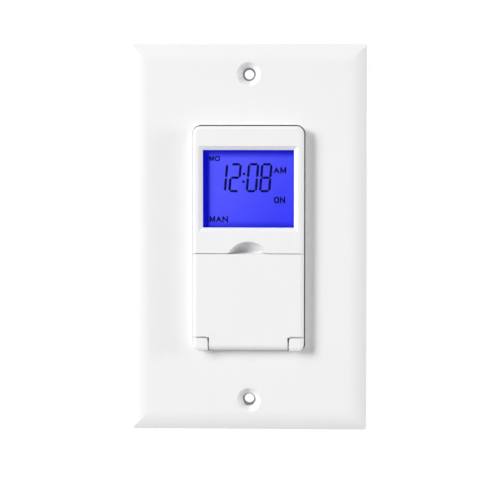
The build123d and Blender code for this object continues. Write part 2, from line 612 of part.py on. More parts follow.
def make_reset_key():
    """Round reset key, sunk below the tray floor so that only a pin presses it."""
    stem = post(RESET_R, FLANGE_BACK_Z, FLOOR_Z - RESET_SINK, RESET_X, RESET_Y)
    flange_top = FLANGE_BACK_Z + KEY_FLANGE_THICK
    return stem + post(RESET_R + KEY_FLANGE, FLANGE_BACK_Z, flange_top, RESET_X, RESET_Y)


def make_key_switches():
    """The tact switches on the control board, one under each key, at their pressed height."""
    places = [*key_places().values(), (ON_OFF_X, ON_OFF_Y), (RESET_X, RESET_Y)]
    body = (SWITCH_BODY, SWITCH_BODY, SWITCH_BODY_HEIGHT)
    return [
        block(body, x, y, BOARD_FRONT_Z)
        + post(SWITCH_STEM_R, BOARD_FRONT_Z + SWITCH_BODY_HEIGHT, BOARD_FRONT_Z + SWITCH_HEIGHT, x, y)
        for x, y in places
    ]


def make_lens():
    """Clear window lens with a bevelled front edge, seated behind the window."""
    lens = slab(Rectangle(*LENS_SIZE), LENS_BACK_Z, LENS_FRONT_Z, y=WINDOW_CENTRE_Y)
    return chamfer(lens.edges().group_by(Axis.Z)[-1], LENS_CLEARANCE)


def make_lcd():
    """Liquid crystal display glass: the front sheet stands over a shorter rear sheet."""
    middle = (LCD_BACK_Z + LCD_FRONT_Z) / 2
    front = slab(Rectangle(*LCD_SIZE), middle, LCD_FRONT_Z, y=WINDOW_CENTRE_Y)
    rear = Rectangle(LCD_SIZE[0], LCD_SIZE[1] - 2 * CONTACT_STRIP_WIDTH)
    return front + slab(rear, LCD_BACK_Z, middle, y=WINDOW_CENTRE_Y)


def make_lcd_frame():
    """Frame that holds the display, the light guide and the contact strips on the board."""
    half_x = min(LCD_SIZE[0] / 2 + LENS_CLEARANCE + LCD_FRAME_WALL, INNER_HALF_WIDTH - LENS_CLEARANCE)
    top = LCD_TOP_Y + LED_SIZE[1]
    bottom = LCD_BOTTOM_Y - LENS_CLEARANCE
    wall = LCD_FRAME_WALL
    outer = span_box((-half_x, half_x), (bottom - wall, top + wall), (BOARD_FRONT_Z, LCD_FRONT_Z))
    lap = LCD_SIZE[0] / 2 + LENS_CLEARANCE
    seat = span_box((-lap, lap), (bottom, LCD_TOP_Y + LENS_CLEARANCE), (LCD_BACK_Z, LCD_FRONT_Z))
    well = span_box((-lap, lap), (bottom, top), (BOARD_FRONT_Z, LCD_BACK_Z))
    return outer - seat - well


def guide_limits():
    """The lower and upper edge of the light guide, between the strip and the lamps."""
    low = LCD_BOTTOM_Y + CONTACT_STRIP_WIDTH + GUIDE_MARGIN
    return low, LCD_TOP_Y - GUIDE_MARGIN


def make_light_guide():
    """Backlight guide plate behind the display."""
    low, high = guide_limits()
    half = LCD_SIZE[0] / 2 - GUIDE_MARGIN
    bottom = BOARD_FRONT_Z + STACK_CLEARANCE
    guide = span_box((-half, half), (low, high), (bottom, LCD_BACK_Z - STACK_CLEARANCE))
    wedge_edge = guide.edges().filter_by(Axis.X).group_by(Axis.Z)[0].sort_by(Axis.Y)[0]
    return chamfer(wedge_edge, GUIDE_MARGIN)


def make_leds():
    """The backlight's two side-firing lamps above the guide."""
    y = LCD_TOP_Y - GUIDE_MARGIN + STACK_CLEARANCE + LED_SIZE[1] / 2
    return [block(LED_SIZE, side * LED_SPACING / 2, y, BOARD_FRONT_Z) for side in (-1, 1)]


def make_contact_strip():
    """Elastomer strip that joins the display's contact ledge to the board."""
    width = LCD_SIZE[0] - 2 * GUIDE_MARGIN
    height = (LCD_BACK_Z + LCD_FRONT_Z) / 2 - STACK_CLEARANCE - BOARD_FRONT_Z
    y = LCD_BOTTOM_Y + GUIDE_MARGIN / 2 + CONTACT_STRIP_WIDTH / 2
    depth = CONTACT_STRIP_WIDTH - GUIDE_MARGIN
    return block((width, depth, height), 0, y, BOARD_FRONT_Z)


def board_outline():
    """The control board's outline, notched round the four screw bosses."""
    outline = Rectangle(*BOARD_SIZE)
    notch_r = BEZEL_BOSS_R + BOARD_CLEARANCE
    for x, y in SCREW_POINTS:
        outline -= Pos(x, y) * Circle(notch_r)
        corner = Rectangle(2 * notch_r, 2 * notch_r)
        outline -= Pos(x + notch_r if x > 0 else x - notch_r, y) * corner
        outline -= Pos(x, y + notch_r if y > 0 else y - notch_r) * corner
    return outline


def pin_points():
    """The places of the header pins, in one row."""
    return [((i - (HEADER_PINS - 1) / 2) * HEADER_PITCH, HEADER_Y) for i in range(HEADER_PINS)]


def pin_holes(low, high):
    """The row of plated holes that the header pins pass through."""
    radius = HEADER_PIN / sqrt(2) + HEADER_HOLE_CLEARANCE
    return [post(radius, low, high, x, y) for x, y in pin_points()]


def make_control_board():
    """Front circuit board, behind the display and the keys."""
    return slab(board_outline(), BOARD_Z, BOARD_FRONT_Z) - pin_holes(BOARD_Z, BOARD_FRONT_Z)


def make_insulating_sheet():
    """Thin insulating sheet between the control board and the steel strap."""
    window = RectangleRounded(*STRAP_WINDOW, STRAP_WINDOW_CORNER)
    return slab(board_outline() - window, SHEET_Z, BOARD_Z)


def make_power_board():
    """Rear circuit board, seated on the inner ledge of the housing's shoulders."""
    width = HOUSING_WIDTH - 2 * (HOUSING_WALL + BOARD_CLEARANCE)
    height = 2 * (SCREW_Y - HOUSING_BOSS_R - BOARD_CLEARANCE)
    board = slab(Rectangle(width, height), POWER_BOARD_BACK_Z, POWER_BOARD_FRONT_Z)
    board -= pin_holes(POWER_BOARD_BACK_Z, POWER_BOARD_FRONT_Z)
    return board


def make_board_header():
    """Pin header that joins the two boards through the strap's window."""
    length = HEADER_PINS * HEADER_PITCH
    body = block((length, HEADER_BODY, HEADER_BODY), 0, HEADER_Y, POWER_BOARD_FRONT_Z)
    low = POWER_BOARD_BACK_Z - HEADER_TAIL
    pin_length = BOARD_FRONT_Z + HEADER_TAIL - low
    return body + [block((HEADER_PIN, HEADER_PIN, pin_length), x, y, low) for x, y in pin_points()]


def make_controller_chip():
    """Controller chip on the back of the control board."""
    chip = block(CHIP_SIZE, *CHIP_PLACE, BOARD_Z - CHIP_SIZE[2])
    return chamfer(chip.edges().filter_by(Axis.Z), CHIP_ROUND)


def make_clock_crystal():
    """Timekeeping crystal in its round can, lying on the back of the control board."""
    x, y = CRYSTAL_PLACE
    return rod_x(CRYSTAL_R, x - CRYSTAL_LENGTH / 2, x + CRYSTAL_LENGTH / 2, y, BOARD_Z - CRYSTAL_R)


def make_backup_cell():
    """Button cell that keeps the program in a power cut, in the strap's window."""
    x, y = CELL_PLACE
    cell = post(CELL_R, BOARD_Z - CELL_THICK, BOARD_Z, x, y)
    return chamfer(cell.edges().group_by(Axis.Z)[0], CELL_RIM)


def on_power_board(size, place):
    """A box that stands on the rear face of the power board."""
    return block(size, *place, POWER_BOARD_BACK_Z - size[2])


def make_relay():
    """Sealed load relay."""
    relay = on_power_board(RELAY_SIZE, RELAY_PLACE)
    relay = fillet(relay.edges().filter_by(Axis.Z), RELAY_ROUND)
    return chamfer(relay.edges().group_by(Axis.Z)[0], RELAY_ROUND / 2)


def make_film_capacitor():
    """Box film capacitor that drops the mains voltage."""
    case = on_power_board(FILM_CAPACITOR_SIZE, FILM_CAPACITOR_PLACE)
    return chamfer(case.edges().group_by(Axis.Z)[0], RELAY_ROUND)


def make_can_capacitors():
    """Two electrolytic capacitors with bevelled rims."""
    can = post(CAN_R, POWER_BOARD_BACK_Z - CAN_HEIGHT, POWER_BOARD_BACK_Z)
    can = chamfer(can.edges().group_by(Axis.Z)[0], CAN_RIM)
    return [Pos(RIGHT_X, y, 0) * can for y in CAN_YS]


def make_varistor():
    """Disc varistor that stands on edge across the supply."""
    x, y = VARISTOR_PLACE
    disc = Pos(x - VARISTOR_THICK / 2, y, POWER_BOARD_BACK_Z - VARISTOR_R) * Rot(0, 90, 0) * Cylinder(
        VARISTOR_R, VARISTOR_THICK, align=(Align.CENTER, Align.CENTER, Align.MIN)
    )
    return chamfer(disc.edges().filter_by(GeomType.CIRCLE), VARISTOR_BEVEL)


def make_fusible_resistor():
    """Fusible resistor in the supply line, lying on the board, with a bent wire at each end."""
    x, y = FUSE_PLACE
    foot = POWER_BOARD_BACK_Z
    z = foot - FUSE_R
    reach = FUSE_LENGTH / 2 + 3 * WIRE_R
    corners = ((x - reach, y, foot), (x - reach, y, z), (x + reach, y, z), (x + reach, y, foot))
    section = Plane(corners[0], z_dir=(0, 0, -1)) * Circle(WIRE_R)
    wire = sweep(section, path=Polyline(*corners), transition=Transition.RIGHT)
    return rod_x(FUSE_R, x - FUSE_LENGTH / 2, x + FUSE_LENGTH / 2, y, z) + wire


def make_bridge_rectifier():
    """Bridge rectifier: a bevelled body flat on the board with two legs on each side."""
    x, y = BRIDGE_PLACE
    body = on_power_board(BRIDGE_SIZE, BRIDGE_PLACE)
    bridge = chamfer(body.edges().group_by(Axis.Z)[0], BRIDGE_BEVEL)
    leg_x = BRIDGE_SIZE[0] / 2 + BRIDGE_LEG[0] / 2
    for sx in (-1, 1):
        for sy in (-1, 1):
            bridge += on_power_board(BRIDGE_LEG, (x + sx * leg_x, y + sy * BRIDGE_LEG_PITCH / 2))
    return bridge


def lead_exit_xs():
    """The places of the lead exits across the back."""
    return [(i - (LEAD_EXITS - 1) / 2) * LEAD_EXIT_PITCH for i in range(LEAD_EXITS)]


def make_lead_tabs():
    """Solder tabs for the supply and load leads, in line with their exits."""
    return [on_power_board(LEAD_TAB_SIZE, (x, LEAD_EXIT_Y)) for x in lead_exit_xs()]


def housing_form(wall, lid):
    """The housing's stepped form, or its hollow when set in by the wall."""
    width = HOUSING_WIDTH - 2 * wall
    corner = HOUSING_CORNER - wall / 2
    front = RectangleRounded(width, HOUSING_HEIGHT - 2 * wall, corner)
    rear = RectangleRounded(width, HOUSING_BODY_HEIGHT - 2 * wall, corner)
    return slab(front, -(SHOULDER_DEPTH - wall), lid) + slab(rear, -(HOUSING_DEPTH - wall), lid)


def make_housing():
    """Rear housing: a stepped shell with chamfered back edges, four screw bosses in its
    shoulders, and collared lead exits in its back."""
    outer = housing_form(0.0, 0.0)
    outer = chamfer(outer.faces().sort_by(Axis.Z)[0].edges(), HOUSING_BACK_CHAMFER)
    housing = outer - housing_form(HOUSING_WALL, HOUSING_WALL)
    for x, y in SCREW_POINTS:
        housing += post(HOUSING_BOSS_R, -SHOULDER_DEPTH, 0, x, y) & outer
        housing -= post(SCREW_R + SCREW_CLEARANCE, -SHOULDER_DEPTH, 0, x, y)
    back = -HOUSING_DEPTH
    for x in lead_exit_xs():
        housing += post(LEAD_EXIT_R + LEAD_EXIT_COLLAR_WALL, back - LEAD_EXIT_COLLAR, back, x, LEAD_EXIT_Y)
        housing -= post(LEAD_EXIT_R, back - LEAD_EXIT_COLLAR, back + HOUSING_WALL, x, LEAD_EXIT_Y)
    return housing


def make_housing_screws():
    """Four pan-head screws from the shoulders through the strap into the bezel's bosses."""
    head = post(SCREW_HEAD_R, -SCREW_HEAD, 0)
    head = chamfer(head.edges().group_by(Axis.Z)[0], SCREW_HEAD / 3)
    wing_width, wing_length, depth = SCREW_CROSS
    for wing in ((wing_width, wing_length), (wing_length, wing_width)):
        head -= block((*wing, depth), 0, 0, -SCREW_HEAD)
    tip = SHOULDER_DEPTH + STRAP_THICK + SCREW_BITE - SCREW_CLEARANCE
    screw = head + post(SCREW_R, 0, tip)
    return [Pos(x, y, -SHOULDER_DEPTH) * screw for x, y in SCREW_POINTS]


def save(name, pieces):
    """Writes one node, from one solid or a list of separate solids."""
    solids = pieces if isinstance(pieces, list) else [pieces]
    upright = [stand(piece).solid() for piece in solids]
    shape = upright[0] if len(upright) == 1 else Compound(upright)
    export_step(shape, f"parts/{name}.step")


PIECES = {
    "wall_plate": make_wall_plate,
    "mounting_strap": make_strap,
    "ground_screw": make_ground_screw,
    "front_bezel": make_bezel,
    "cover_door": make_door,
    "display_lens": make_lens,
    "lcd_glass": make_lcd,
    "lcd_frame": make_lcd_frame,
    "light_guide": make_light_guide,
    "backlight_leds": make_leds,
    "contact_strip": make_contact_strip,
    "key_switches": make_key_switches,
    "reset_key": make_reset_key,
    "insulating_sheet": make_insulating_sheet,
    "control_board": make_control_board,
    "controller_chip": make_controller_chip,
    "clock_crystal": make_clock_crystal,
    "backup_cell": make_backup_cell,
    "board_header": make_board_header,
    "power_board": make_power_board,
    "load_relay": make_relay,
    "film_capacitor": make_film_capacitor,
    "can_capacitors": make_can_capacitors,
    "surge_varistor": make_varistor,
    "fusible_resistor": make_fusible_resistor,
    "bridge_rectifier": make_bridge_rectifier,
    "lead_tabs": make_lead_tabs,
    "rear_housing": make_housing,
    "housing_screws": make_housing_screws,
}

os.makedirs("parts", exist_ok=True)
for node, make in PIECES.items():
    save(node, make())
for node, (key_x, key_y) in key_places().items():
    save(node, make_key(KEY_WIDTH, KEY_HEIGHT, key_x, key_y))
save("on_off_key", make_key(ON_OFF_WIDTH, ON_OFF_HEIGHT, ON_OFF_X, ON_OFF_Y))
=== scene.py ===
"""Finishes, lit display, key legends and studio of a timer switch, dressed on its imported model."""

import logging
import math
from dataclasses import dataclass, field
from enum import Enum
from functools import lru_cache
from typing import ClassVar

import bpy
import numpy as np
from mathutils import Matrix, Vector


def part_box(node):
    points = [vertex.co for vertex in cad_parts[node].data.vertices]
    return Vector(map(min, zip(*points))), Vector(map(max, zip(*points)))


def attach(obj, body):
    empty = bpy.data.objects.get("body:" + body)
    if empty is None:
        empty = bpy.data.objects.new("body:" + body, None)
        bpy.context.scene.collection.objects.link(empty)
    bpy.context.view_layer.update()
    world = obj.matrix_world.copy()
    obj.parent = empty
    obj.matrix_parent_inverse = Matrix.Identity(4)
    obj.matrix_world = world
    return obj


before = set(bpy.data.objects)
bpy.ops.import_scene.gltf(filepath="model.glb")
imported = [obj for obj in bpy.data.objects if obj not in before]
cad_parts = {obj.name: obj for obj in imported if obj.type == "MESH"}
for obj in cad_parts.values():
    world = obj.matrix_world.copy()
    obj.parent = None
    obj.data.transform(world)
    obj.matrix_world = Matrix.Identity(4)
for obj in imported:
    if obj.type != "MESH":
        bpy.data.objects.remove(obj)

LOG = logging.getLogger("timer_switch")
Range = tuple[float, float]
Colour = tuple[float, float, float, float]
Value = bpy.types.NodeSocket | float | Colour
Mesh = tuple[np.ndarray, list[tuple[int, ...]]]
Stroke = tuple[tuple[float, float], ...]

MM = 0.001
FULL: Range = (0.0, 1.0)
WHITE: Colour = (1.0, 1.0, 1.0, 1.0)
PLASTIC_IOR = 1.49

# How far printed ink reaches into what carries it, in millimetres.
INK_ROOT = 0.005

# The screen curve, which is a straight line up to its knee.
CURVE_KNEE, CURVE_SLOPE, CURVE_SHIFT, CURVE_POWER = 0.04045, 12.92, 0.055, 2.4

# The sockets of a Mix node that mixes colours.
MIX_SHARE, MIX_FIRST, MIX_SECOND, MIX_RESULT = 0, 6, 7, 2

# The bands of a Wave node repeat after this length of its scaled coordinates.
WAVE_LENGTH = math.pi / 10.0


def tone(red: int, green: int, blue: int) -> Colour:
    """Turns a screen colour into the linear one that a shader takes.

    The screen curve is undone: up to its knee a value is divided by the slope, and above it the shift is
    added and the sum, divided by one plus the shift, is raised to the curve's power.

    Args:
        red: Red from 0 to 255.
        green: Green from 0 to 255.
        blue: Blue from 0 to 255.

    Returns:
        The linear colour with full opacity.
    """
    screen = np.array((red, green, blue)) / 255.0
    raised = ((screen + CURVE_SHIFT) / (1.0 + CURVE_SHIFT)) ** CURVE_POWER
    light = np.where(screen <= CURVE_KNEE, screen / CURVE_SLOPE, raised)
    return (float(light[0]), float(light[1]), float(light[2]), 1.0)


def dim(colour: Colour, share: float) -> Colour:
    """A darker copy of a colour, multiplied by a share."""
    return (colour[0] * share, colour[1] * share, colour[2] * share, 1.0)


def round_about(middle: float, play: float) -> Range:
    """The range that goes as far below a middle value as above it."""
    return (middle - play, middle + play)


class Axis(Enum):
    """The three axes, by the names that nodes give them."""

    X = "X"
    Y = "Y"
    Z = "Z"


class Way(Enum):
    """Which way along an axis a surface looks."""

    EITHER = 0.0
    NEGATIVE = -1.0


class Recipe:
    """One material under construction: its node tree, with a short call for each kind of node in use."""

    FACING_EDGE: ClassVar[Range] = (0.80, 0.85)

    def __init__(self, name: str) -> None:
        """Starts a material around one Principled shader.

        Args:
            name: Name of the material.
        """
        self.material = bpy.data.materials.new(name)
        self.material.use_nodes = True
        self.tree = self.material.node_tree
        self.shader = self.tree.nodes["Principled BSDF"]
        self.coordinates = self.tree.nodes.new("ShaderNodeTexCoord").outputs["Object"]

    def feed(self, value: Value, socket: bpy.types.NodeSocket) -> None:
        """Gives a socket a link or a plain value.

        Args:
            value: An output socket, or the value itself.
            socket: The input that takes it.
        """
        if isinstance(value, bpy.types.NodeSocket):
            self.tree.links.new(value, socket)
        else:
            socket.default_value = value

    def set(self, **values: Value) -> None:
        """Feeds the shader's inputs, named in lower case with underscores for spaces.

        Args:
            **values: Each input's link or value.
        """
        for key, value in values.items():
            names = [socket.name for socket in self.shader.inputs
                     if socket.name.lower().replace(" ", "_") == key]
            self.feed(value, self.shader.inputs[names[0]])

    def stretched(self, scale: tuple[float, float, float]) -> bpy.types.NodeSocket:
        """Scales a pattern along each axis, so that it is drawn out where the scale is small.

        Args:
            scale: Scale along x, y and z.

        Returns:
            The scaled coordinates.
        """
        node = self.tree.nodes.new("ShaderNodeMapping")
        node.inputs["Scale"].default_value = scale
        self.feed(self.coordinates, node.inputs["Vector"])
        return node.outputs["Vector"]

    def noise(self, pitch: float, detail: float = 2.0,
              where: bpy.types.NodeSocket | None = None) -> bpy.types.NodeSocket:
        """Cloudy noise.

        Args:
            pitch: Size of one cloud in millimetres.
            detail: How many finer layers lie on top.
            where: Coordinates, or None for the object's own.

        Returns:
            The noise from 0 to 1.
        """
        node = self.tree.nodes.new("ShaderNodeTexNoise")
        node.inputs["Scale"].default_value = 1.0 / (pitch * MM)
        node.inputs["Detail"].default_value = detail
        self.feed(self.coordinates if where is None else where, node.inputs["Vector"])
        return node.outputs["Fac"]

    def cells(self, pitch: float, metric: str = "EUCLIDEAN",
              where: bpy.types.NodeSocket | None = None) -> bpy.types.NodeSocket:
        """Distance from the middles of scattered cells.

        Args:
            pitch: Size of one cell in millimetres.
            metric: How the distance is measured.
            where: Coordinates, or None for the object's own.

        Returns:
            The distance, in cells.
        """
        node = self.tree.nodes.new("ShaderNodeTexVoronoi")
        node.distance = metric
        node.inputs["Scale"].default_value = 1.0 / (pitch * MM)
        self.feed(self.coordinates if where is None else where, node.inputs["Vector"])
        return node.outputs["Distance"]

    def bands(self, axis: Axis, pitch: float, wander: float = 0.0) -> bpy.types.NodeSocket:
        """Parallel bands across one axis.

        Args:
            axis: The axis.
            pitch: Spacing of the bands in millimetres.
            wander: How far they wander.

        Returns:
            The wave from 0 to 1.
        """
        node = self.tree.nodes.new("ShaderNodeTexWave")
        node.bands_direction = axis.value
        node.inputs["Scale"].default_value = WAVE_LENGTH / (pitch * MM)
        node.inputs["Distortion"].default_value = wander
        self.feed(self.coordinates, node.inputs["Vector"])
        return node.outputs["Fac"]

    def spread(self, value: Value, to: Range, across: Range = FULL) -> bpy.types.NodeSocket:
        """Maps a value from one range to another, held at the ends.

        Args:
            value: The value that is mapped.
            to: Results at the start and at the end.
            across: Where the value's range starts and ends.

        Returns:
            The mapped value.
        """
        node = self.tree.nodes.new("ShaderNodeMapRange")
        self.feed(value, node.inputs["Value"])
        for name, end in zip(("From Min", "From Max", "To Min", "To Max"), (*across, *to)):
            node.inputs[name].default_value = end
        return node.outputs["Result"]

    def worked_out(self, operation: str, first: Value, second: Value) -> bpy.types.NodeSocket:
        """One step of arithmetic on two values.

        Args:
            operation: Name of the Math node's operation.
            first: First value.
            second: Second value.

        Returns:
            The result.
        """
        node = self.tree.nodes.new("ShaderNodeMath")
        node.operation = operation
        self.feed(first, node.inputs[0])
        self.feed(second, node.inputs[1])
        return node.outputs["Value"]

    def blend(self, share: Value, first: Value, second: Value) -> bpy.types.NodeSocket:
        """Mixes two colours by a share.

        Args:
            share: 0 for the first colour, 1 for the second.
            first: Colour at 0.
            second: Colour at 1.

        Returns:
            The mixed colour.
        """
        node = self.tree.nodes.new("ShaderNodeMix")
        node.data_type = "RGBA"
        self.feed(share, node.inputs[MIX_SHARE])
        self.feed(first, node.inputs[MIX_FIRST])
        self.feed(second, node.inputs[MIX_SECOND])
        return node.outputs[MIX_RESULT]

    def along(self, axis: Axis, vector: bpy.types.NodeSocket | None = None) -> bpy.types.NodeSocket:
        """One component of a vector.

        Args:
            axis: The axis.
            vector: The vector, or None for the object coordinates in metres.

        Returns:
            That component.
        """
        node = self.tree.nodes.new("ShaderNodeSeparateXYZ")
        self.feed(self.coordinates if vector is None else vector, node.inputs["Vector"])
        return node.outputs[axis.value]

    def facing(self, axis: Axis, way: Way) -> bpy.types.NodeSocket:
        """1 where the surface faces along an axis, else 0.

        Args:
            axis: The axis.
            way: Which way along it counts.

        Returns:
            The share.
        """
        normal = self.tree.nodes.new("ShaderNodeNewGeometry").outputs["Normal"]
        component = self.along(axis, normal)
        if way is Way.EITHER:
            value = self.worked_out("ABSOLUTE", component, 0.0)
        else:
            value = self.worked_out("MULTIPLY", component, way.value)
        return self.spread(value, FULL, self.FACING_EDGE)

    def bump(self, height: Value, depth: float) -> None:
        """Raises the surface by a height pattern.

        Args:
            height: The pattern from 0 to 1.
            depth: Height of its full range in millimetres.
        """
        node = self.tree.nodes.new("ShaderNodeBump")
        node.inputs["Distance"].default_value = depth * MM
        node.inputs["Strength"].default_value = 1.0
        self.feed(height, node.inputs["Height"])
        self.tree.links.new(node.outputs["Normal"], self.shader.inputs["Normal"])


@dataclass(frozen=True)
class Finish:
    """What every finish has: its name, and a way to build its material."""

    name: str

    def material(self) -> bpy.types.Material:
        """Builds the material, which each kind of finish does in its own way."""
        raise NotImplementedError


class Mould(Enum):
    """How the wall of the mould was finished."""

    POLISHED = (0.6, 0.0004, 0.36, 0.012)
    SATIN = (0.30, 0.0015, 0.44, 0.02)
    SPARKED = (0.22, 0.0040, 0.55, 0.05)
    COARSE = (0.45, 0.0120, 0.62, 0.06)

    def __init__(self, pitch: float, depth: float, roughness: float, play: float) -> None:
        """Names the values of one mould.

        Args:
            pitch: Size of a pit in millimetres.
            depth: Its depth in millimetres.
            roughness: The surface's roughness.
            play: How far the roughness goes up and down.
        """
        self.pitch = pitch
        self.depth = depth
        self.roughness = roughness
        self.play = play


@dataclass(frozen=True)
class Moulded(Finish):
    """Moulded plastic: a tone that drifts a little, and the pits of its mould in gloss and height."""

    colour: Colour
    mould: Mould = Mould.SATIN
    drift: float = 0.03
    drift_pitch: float = 14.0
    shine: float = 0.5

    CLOUD_DETAIL: ClassVar[float] = 3.0
    PIT_EDGE: ClassVar[Range] = (0.2, 0.5)
    GLOSS_EDGE: ClassVar[Range] = (0.5, 1.5)

    def material(self) -> bpy.types.Material:
        """Builds the material.

        Returns:
            The finished material.
        """
        recipe = Recipe(self.name)
        cloud = recipe.noise(self.drift_pitch, self.CLOUD_DETAIL)
        pits = recipe.noise(self.mould.pitch)
        dark = dim(self.colour, 1.0 - self.drift)
        recipe.set(
            base_color=recipe.blend(recipe.spread(pits, FULL, self.PIT_EDGE), dark,
                                    recipe.blend(cloud, dark, self.colour)),
            roughness=recipe.spread(recipe.worked_out("ADD", cloud, pits),
                                    round_about(self.mould.roughness, self.mould.play), self.GLOSS_EDGE),
            specular_ior_level=self.shine,
            ior=PLASTIC_IOR,
        )
        recipe.bump(pits, self.mould.depth)
        return recipe.material


@dataclass(frozen=True)
class Plated(Finish):
    """Plated sheet steel: rolling streaks, the patchy blue-grey of the plating, and fine pits."""

    colour: Colour
    tint: Colour
    streak_axis: Axis = Axis.Z
    roughness: float = 0.34

    STREAK_STRETCH: ClassVar[float] = 0.06
    STREAK_PITCH: ClassVar[float] = 0.35
    STREAK_DETAIL: ClassVar[float] = 3.0
    STREAK_EDGE: ClassVar[Range] = (0.3, 0.7)
    STREAK_DIM: ClassVar[float] = 0.86
    SPANGLE_PITCH: ClassVar[float] = 4.5
    PATCH_PITCH: ClassVar[float] = 9.0
    PATCH_DETAIL: ClassVar[float] = 4.0
    PATCH_EDGE: ClassVar[Range] = (0.4, 0.7)
    PATCH_SHARE: ClassVar[Range] = (0.0, 0.7)
    SMOOTHER: ClassVar[float] = 0.08
    ROUGHER: ClassVar[float] = 0.12
    GLOSS_EDGE: ClassVar[Range] = (0.4, 1.6)
    PIT_PITCH: ClassVar[float] = 0.2
    DEPTH: ClassVar[float] = 0.003

    def material(self) -> bpy.types.Material:
        """Builds the material.

        Returns:
            The finished material.
        """
        recipe = Recipe(self.name)
        scale = tuple(self.STREAK_STRETCH if axis is self.streak_axis else 1.0 for axis in Axis)
        streaks = recipe.noise(self.STREAK_PITCH, self.STREAK_DETAIL, recipe.stretched(scale))
        patches = recipe.noise(self.PATCH_PITCH, self.PATCH_DETAIL)
        rolled = recipe.blend(recipe.spread(streaks, FULL, self.STREAK_EDGE),
                              dim(self.colour, self.STREAK_DIM), self.colour)
        recipe.set(
            base_color=recipe.blend(recipe.spread(patches, self.PATCH_SHARE, self.PATCH_EDGE),
                                    rolled, self.tint),
            metallic=1.0,
            roughness=recipe.spread(recipe.worked_out("ADD", streaks, recipe.cells(self.SPANGLE_PITCH)),
                                    (self.roughness - self.SMOOTHER, self.roughness + self.ROUGHER),
                                    self.GLOSS_EDGE),
        )
        recipe.bump(recipe.worked_out("ADD", streaks, recipe.noise(self.PIT_PITCH)), self.DEPTH)
        return recipe.material


@dataclass(frozen=True)
class Laminate(Finish):
    """Circuit board: solder mask over faint copper runs, and bare glass-fibre layers at the edges."""

    mask: Colour = tone(16, 92, 52)
    copper: Colour = tone(38, 128, 74)
    core: Colour = tone(196, 186, 132)
    run_pitch: float = 2.6
    face_roughness: float = 0.32
    edge_roughness: float = 0.75

    FLATTENED: ClassVar[tuple[float, float, float]] = (1.0, 0.02, 1.0)
    RUN_EDGE: ClassVar[Range] = (0.42, 0.46)
    FIBRE_PITCH: ClassVar[float] = 0.5
    FIBRE_WANDER: ClassVar[float] = 0.6
    FIBRE_EDGE: ClassVar[Range] = (0.0, 2.0)
    FIBRE_DIM: ClassVar[float] = 0.85
    LAYER_PITCH: ClassVar[float] = 0.2
    LAYER_WANDER: ClassVar[float] = 0.8
    LAYER_DIM: ClassVar[float] = 0.7
    GRAIN_PITCH: ClassVar[float] = 0.3
    IOR: ClassVar[float] = 1.5
    DEPTH: ClassVar[float] = 0.02

    def material(self) -> bpy.types.Material:
        """Builds the material.

        Returns:
            The finished material.
        """
        recipe = Recipe(self.name)
        middles = recipe.cells(self.run_pitch, "CHEBYCHEV", recipe.stretched(self.FLATTENED))
        runs = recipe.spread(middles, (1.0, 0.0), self.RUN_EDGE)
        fibres = recipe.worked_out("ADD", *(recipe.bands(axis, self.FIBRE_PITCH, self.FIBRE_WANDER)
                                            for axis in (Axis.X, Axis.Z)))
        mask = recipe.blend(recipe.spread(fibres, FULL, self.FIBRE_EDGE), dim(self.mask, self.FIBRE_DIM),
                            self.mask)
        face = recipe.blend(runs, mask, self.copper)
        layers = recipe.blend(recipe.bands(Axis.Y, self.LAYER_PITCH, self.LAYER_WANDER),
                              dim(self.core, self.LAYER_DIM), self.core)
        broad = recipe.facing(Axis.Y, Way.EITHER)
        recipe.set(
            base_color=recipe.blend(broad, layers, face),
            roughness=recipe.spread(broad, (self.edge_roughness, self.face_roughness)),
            ior=self.IOR,
        )
        raised = recipe.worked_out("MULTIPLY", runs, broad)
        recipe.bump(recipe.worked_out("ADD", raised, recipe.noise(self.GRAIN_PITCH)), self.DEPTH)
        return recipe.material


@dataclass(frozen=True)
class PaintedShadow:
    """A painted shadow of the window's wall at one border of the display: along one axis its field darkens
    from start to end, in millimetres.
    """

    axis: Axis
    start: float
    end: float
    depth: float


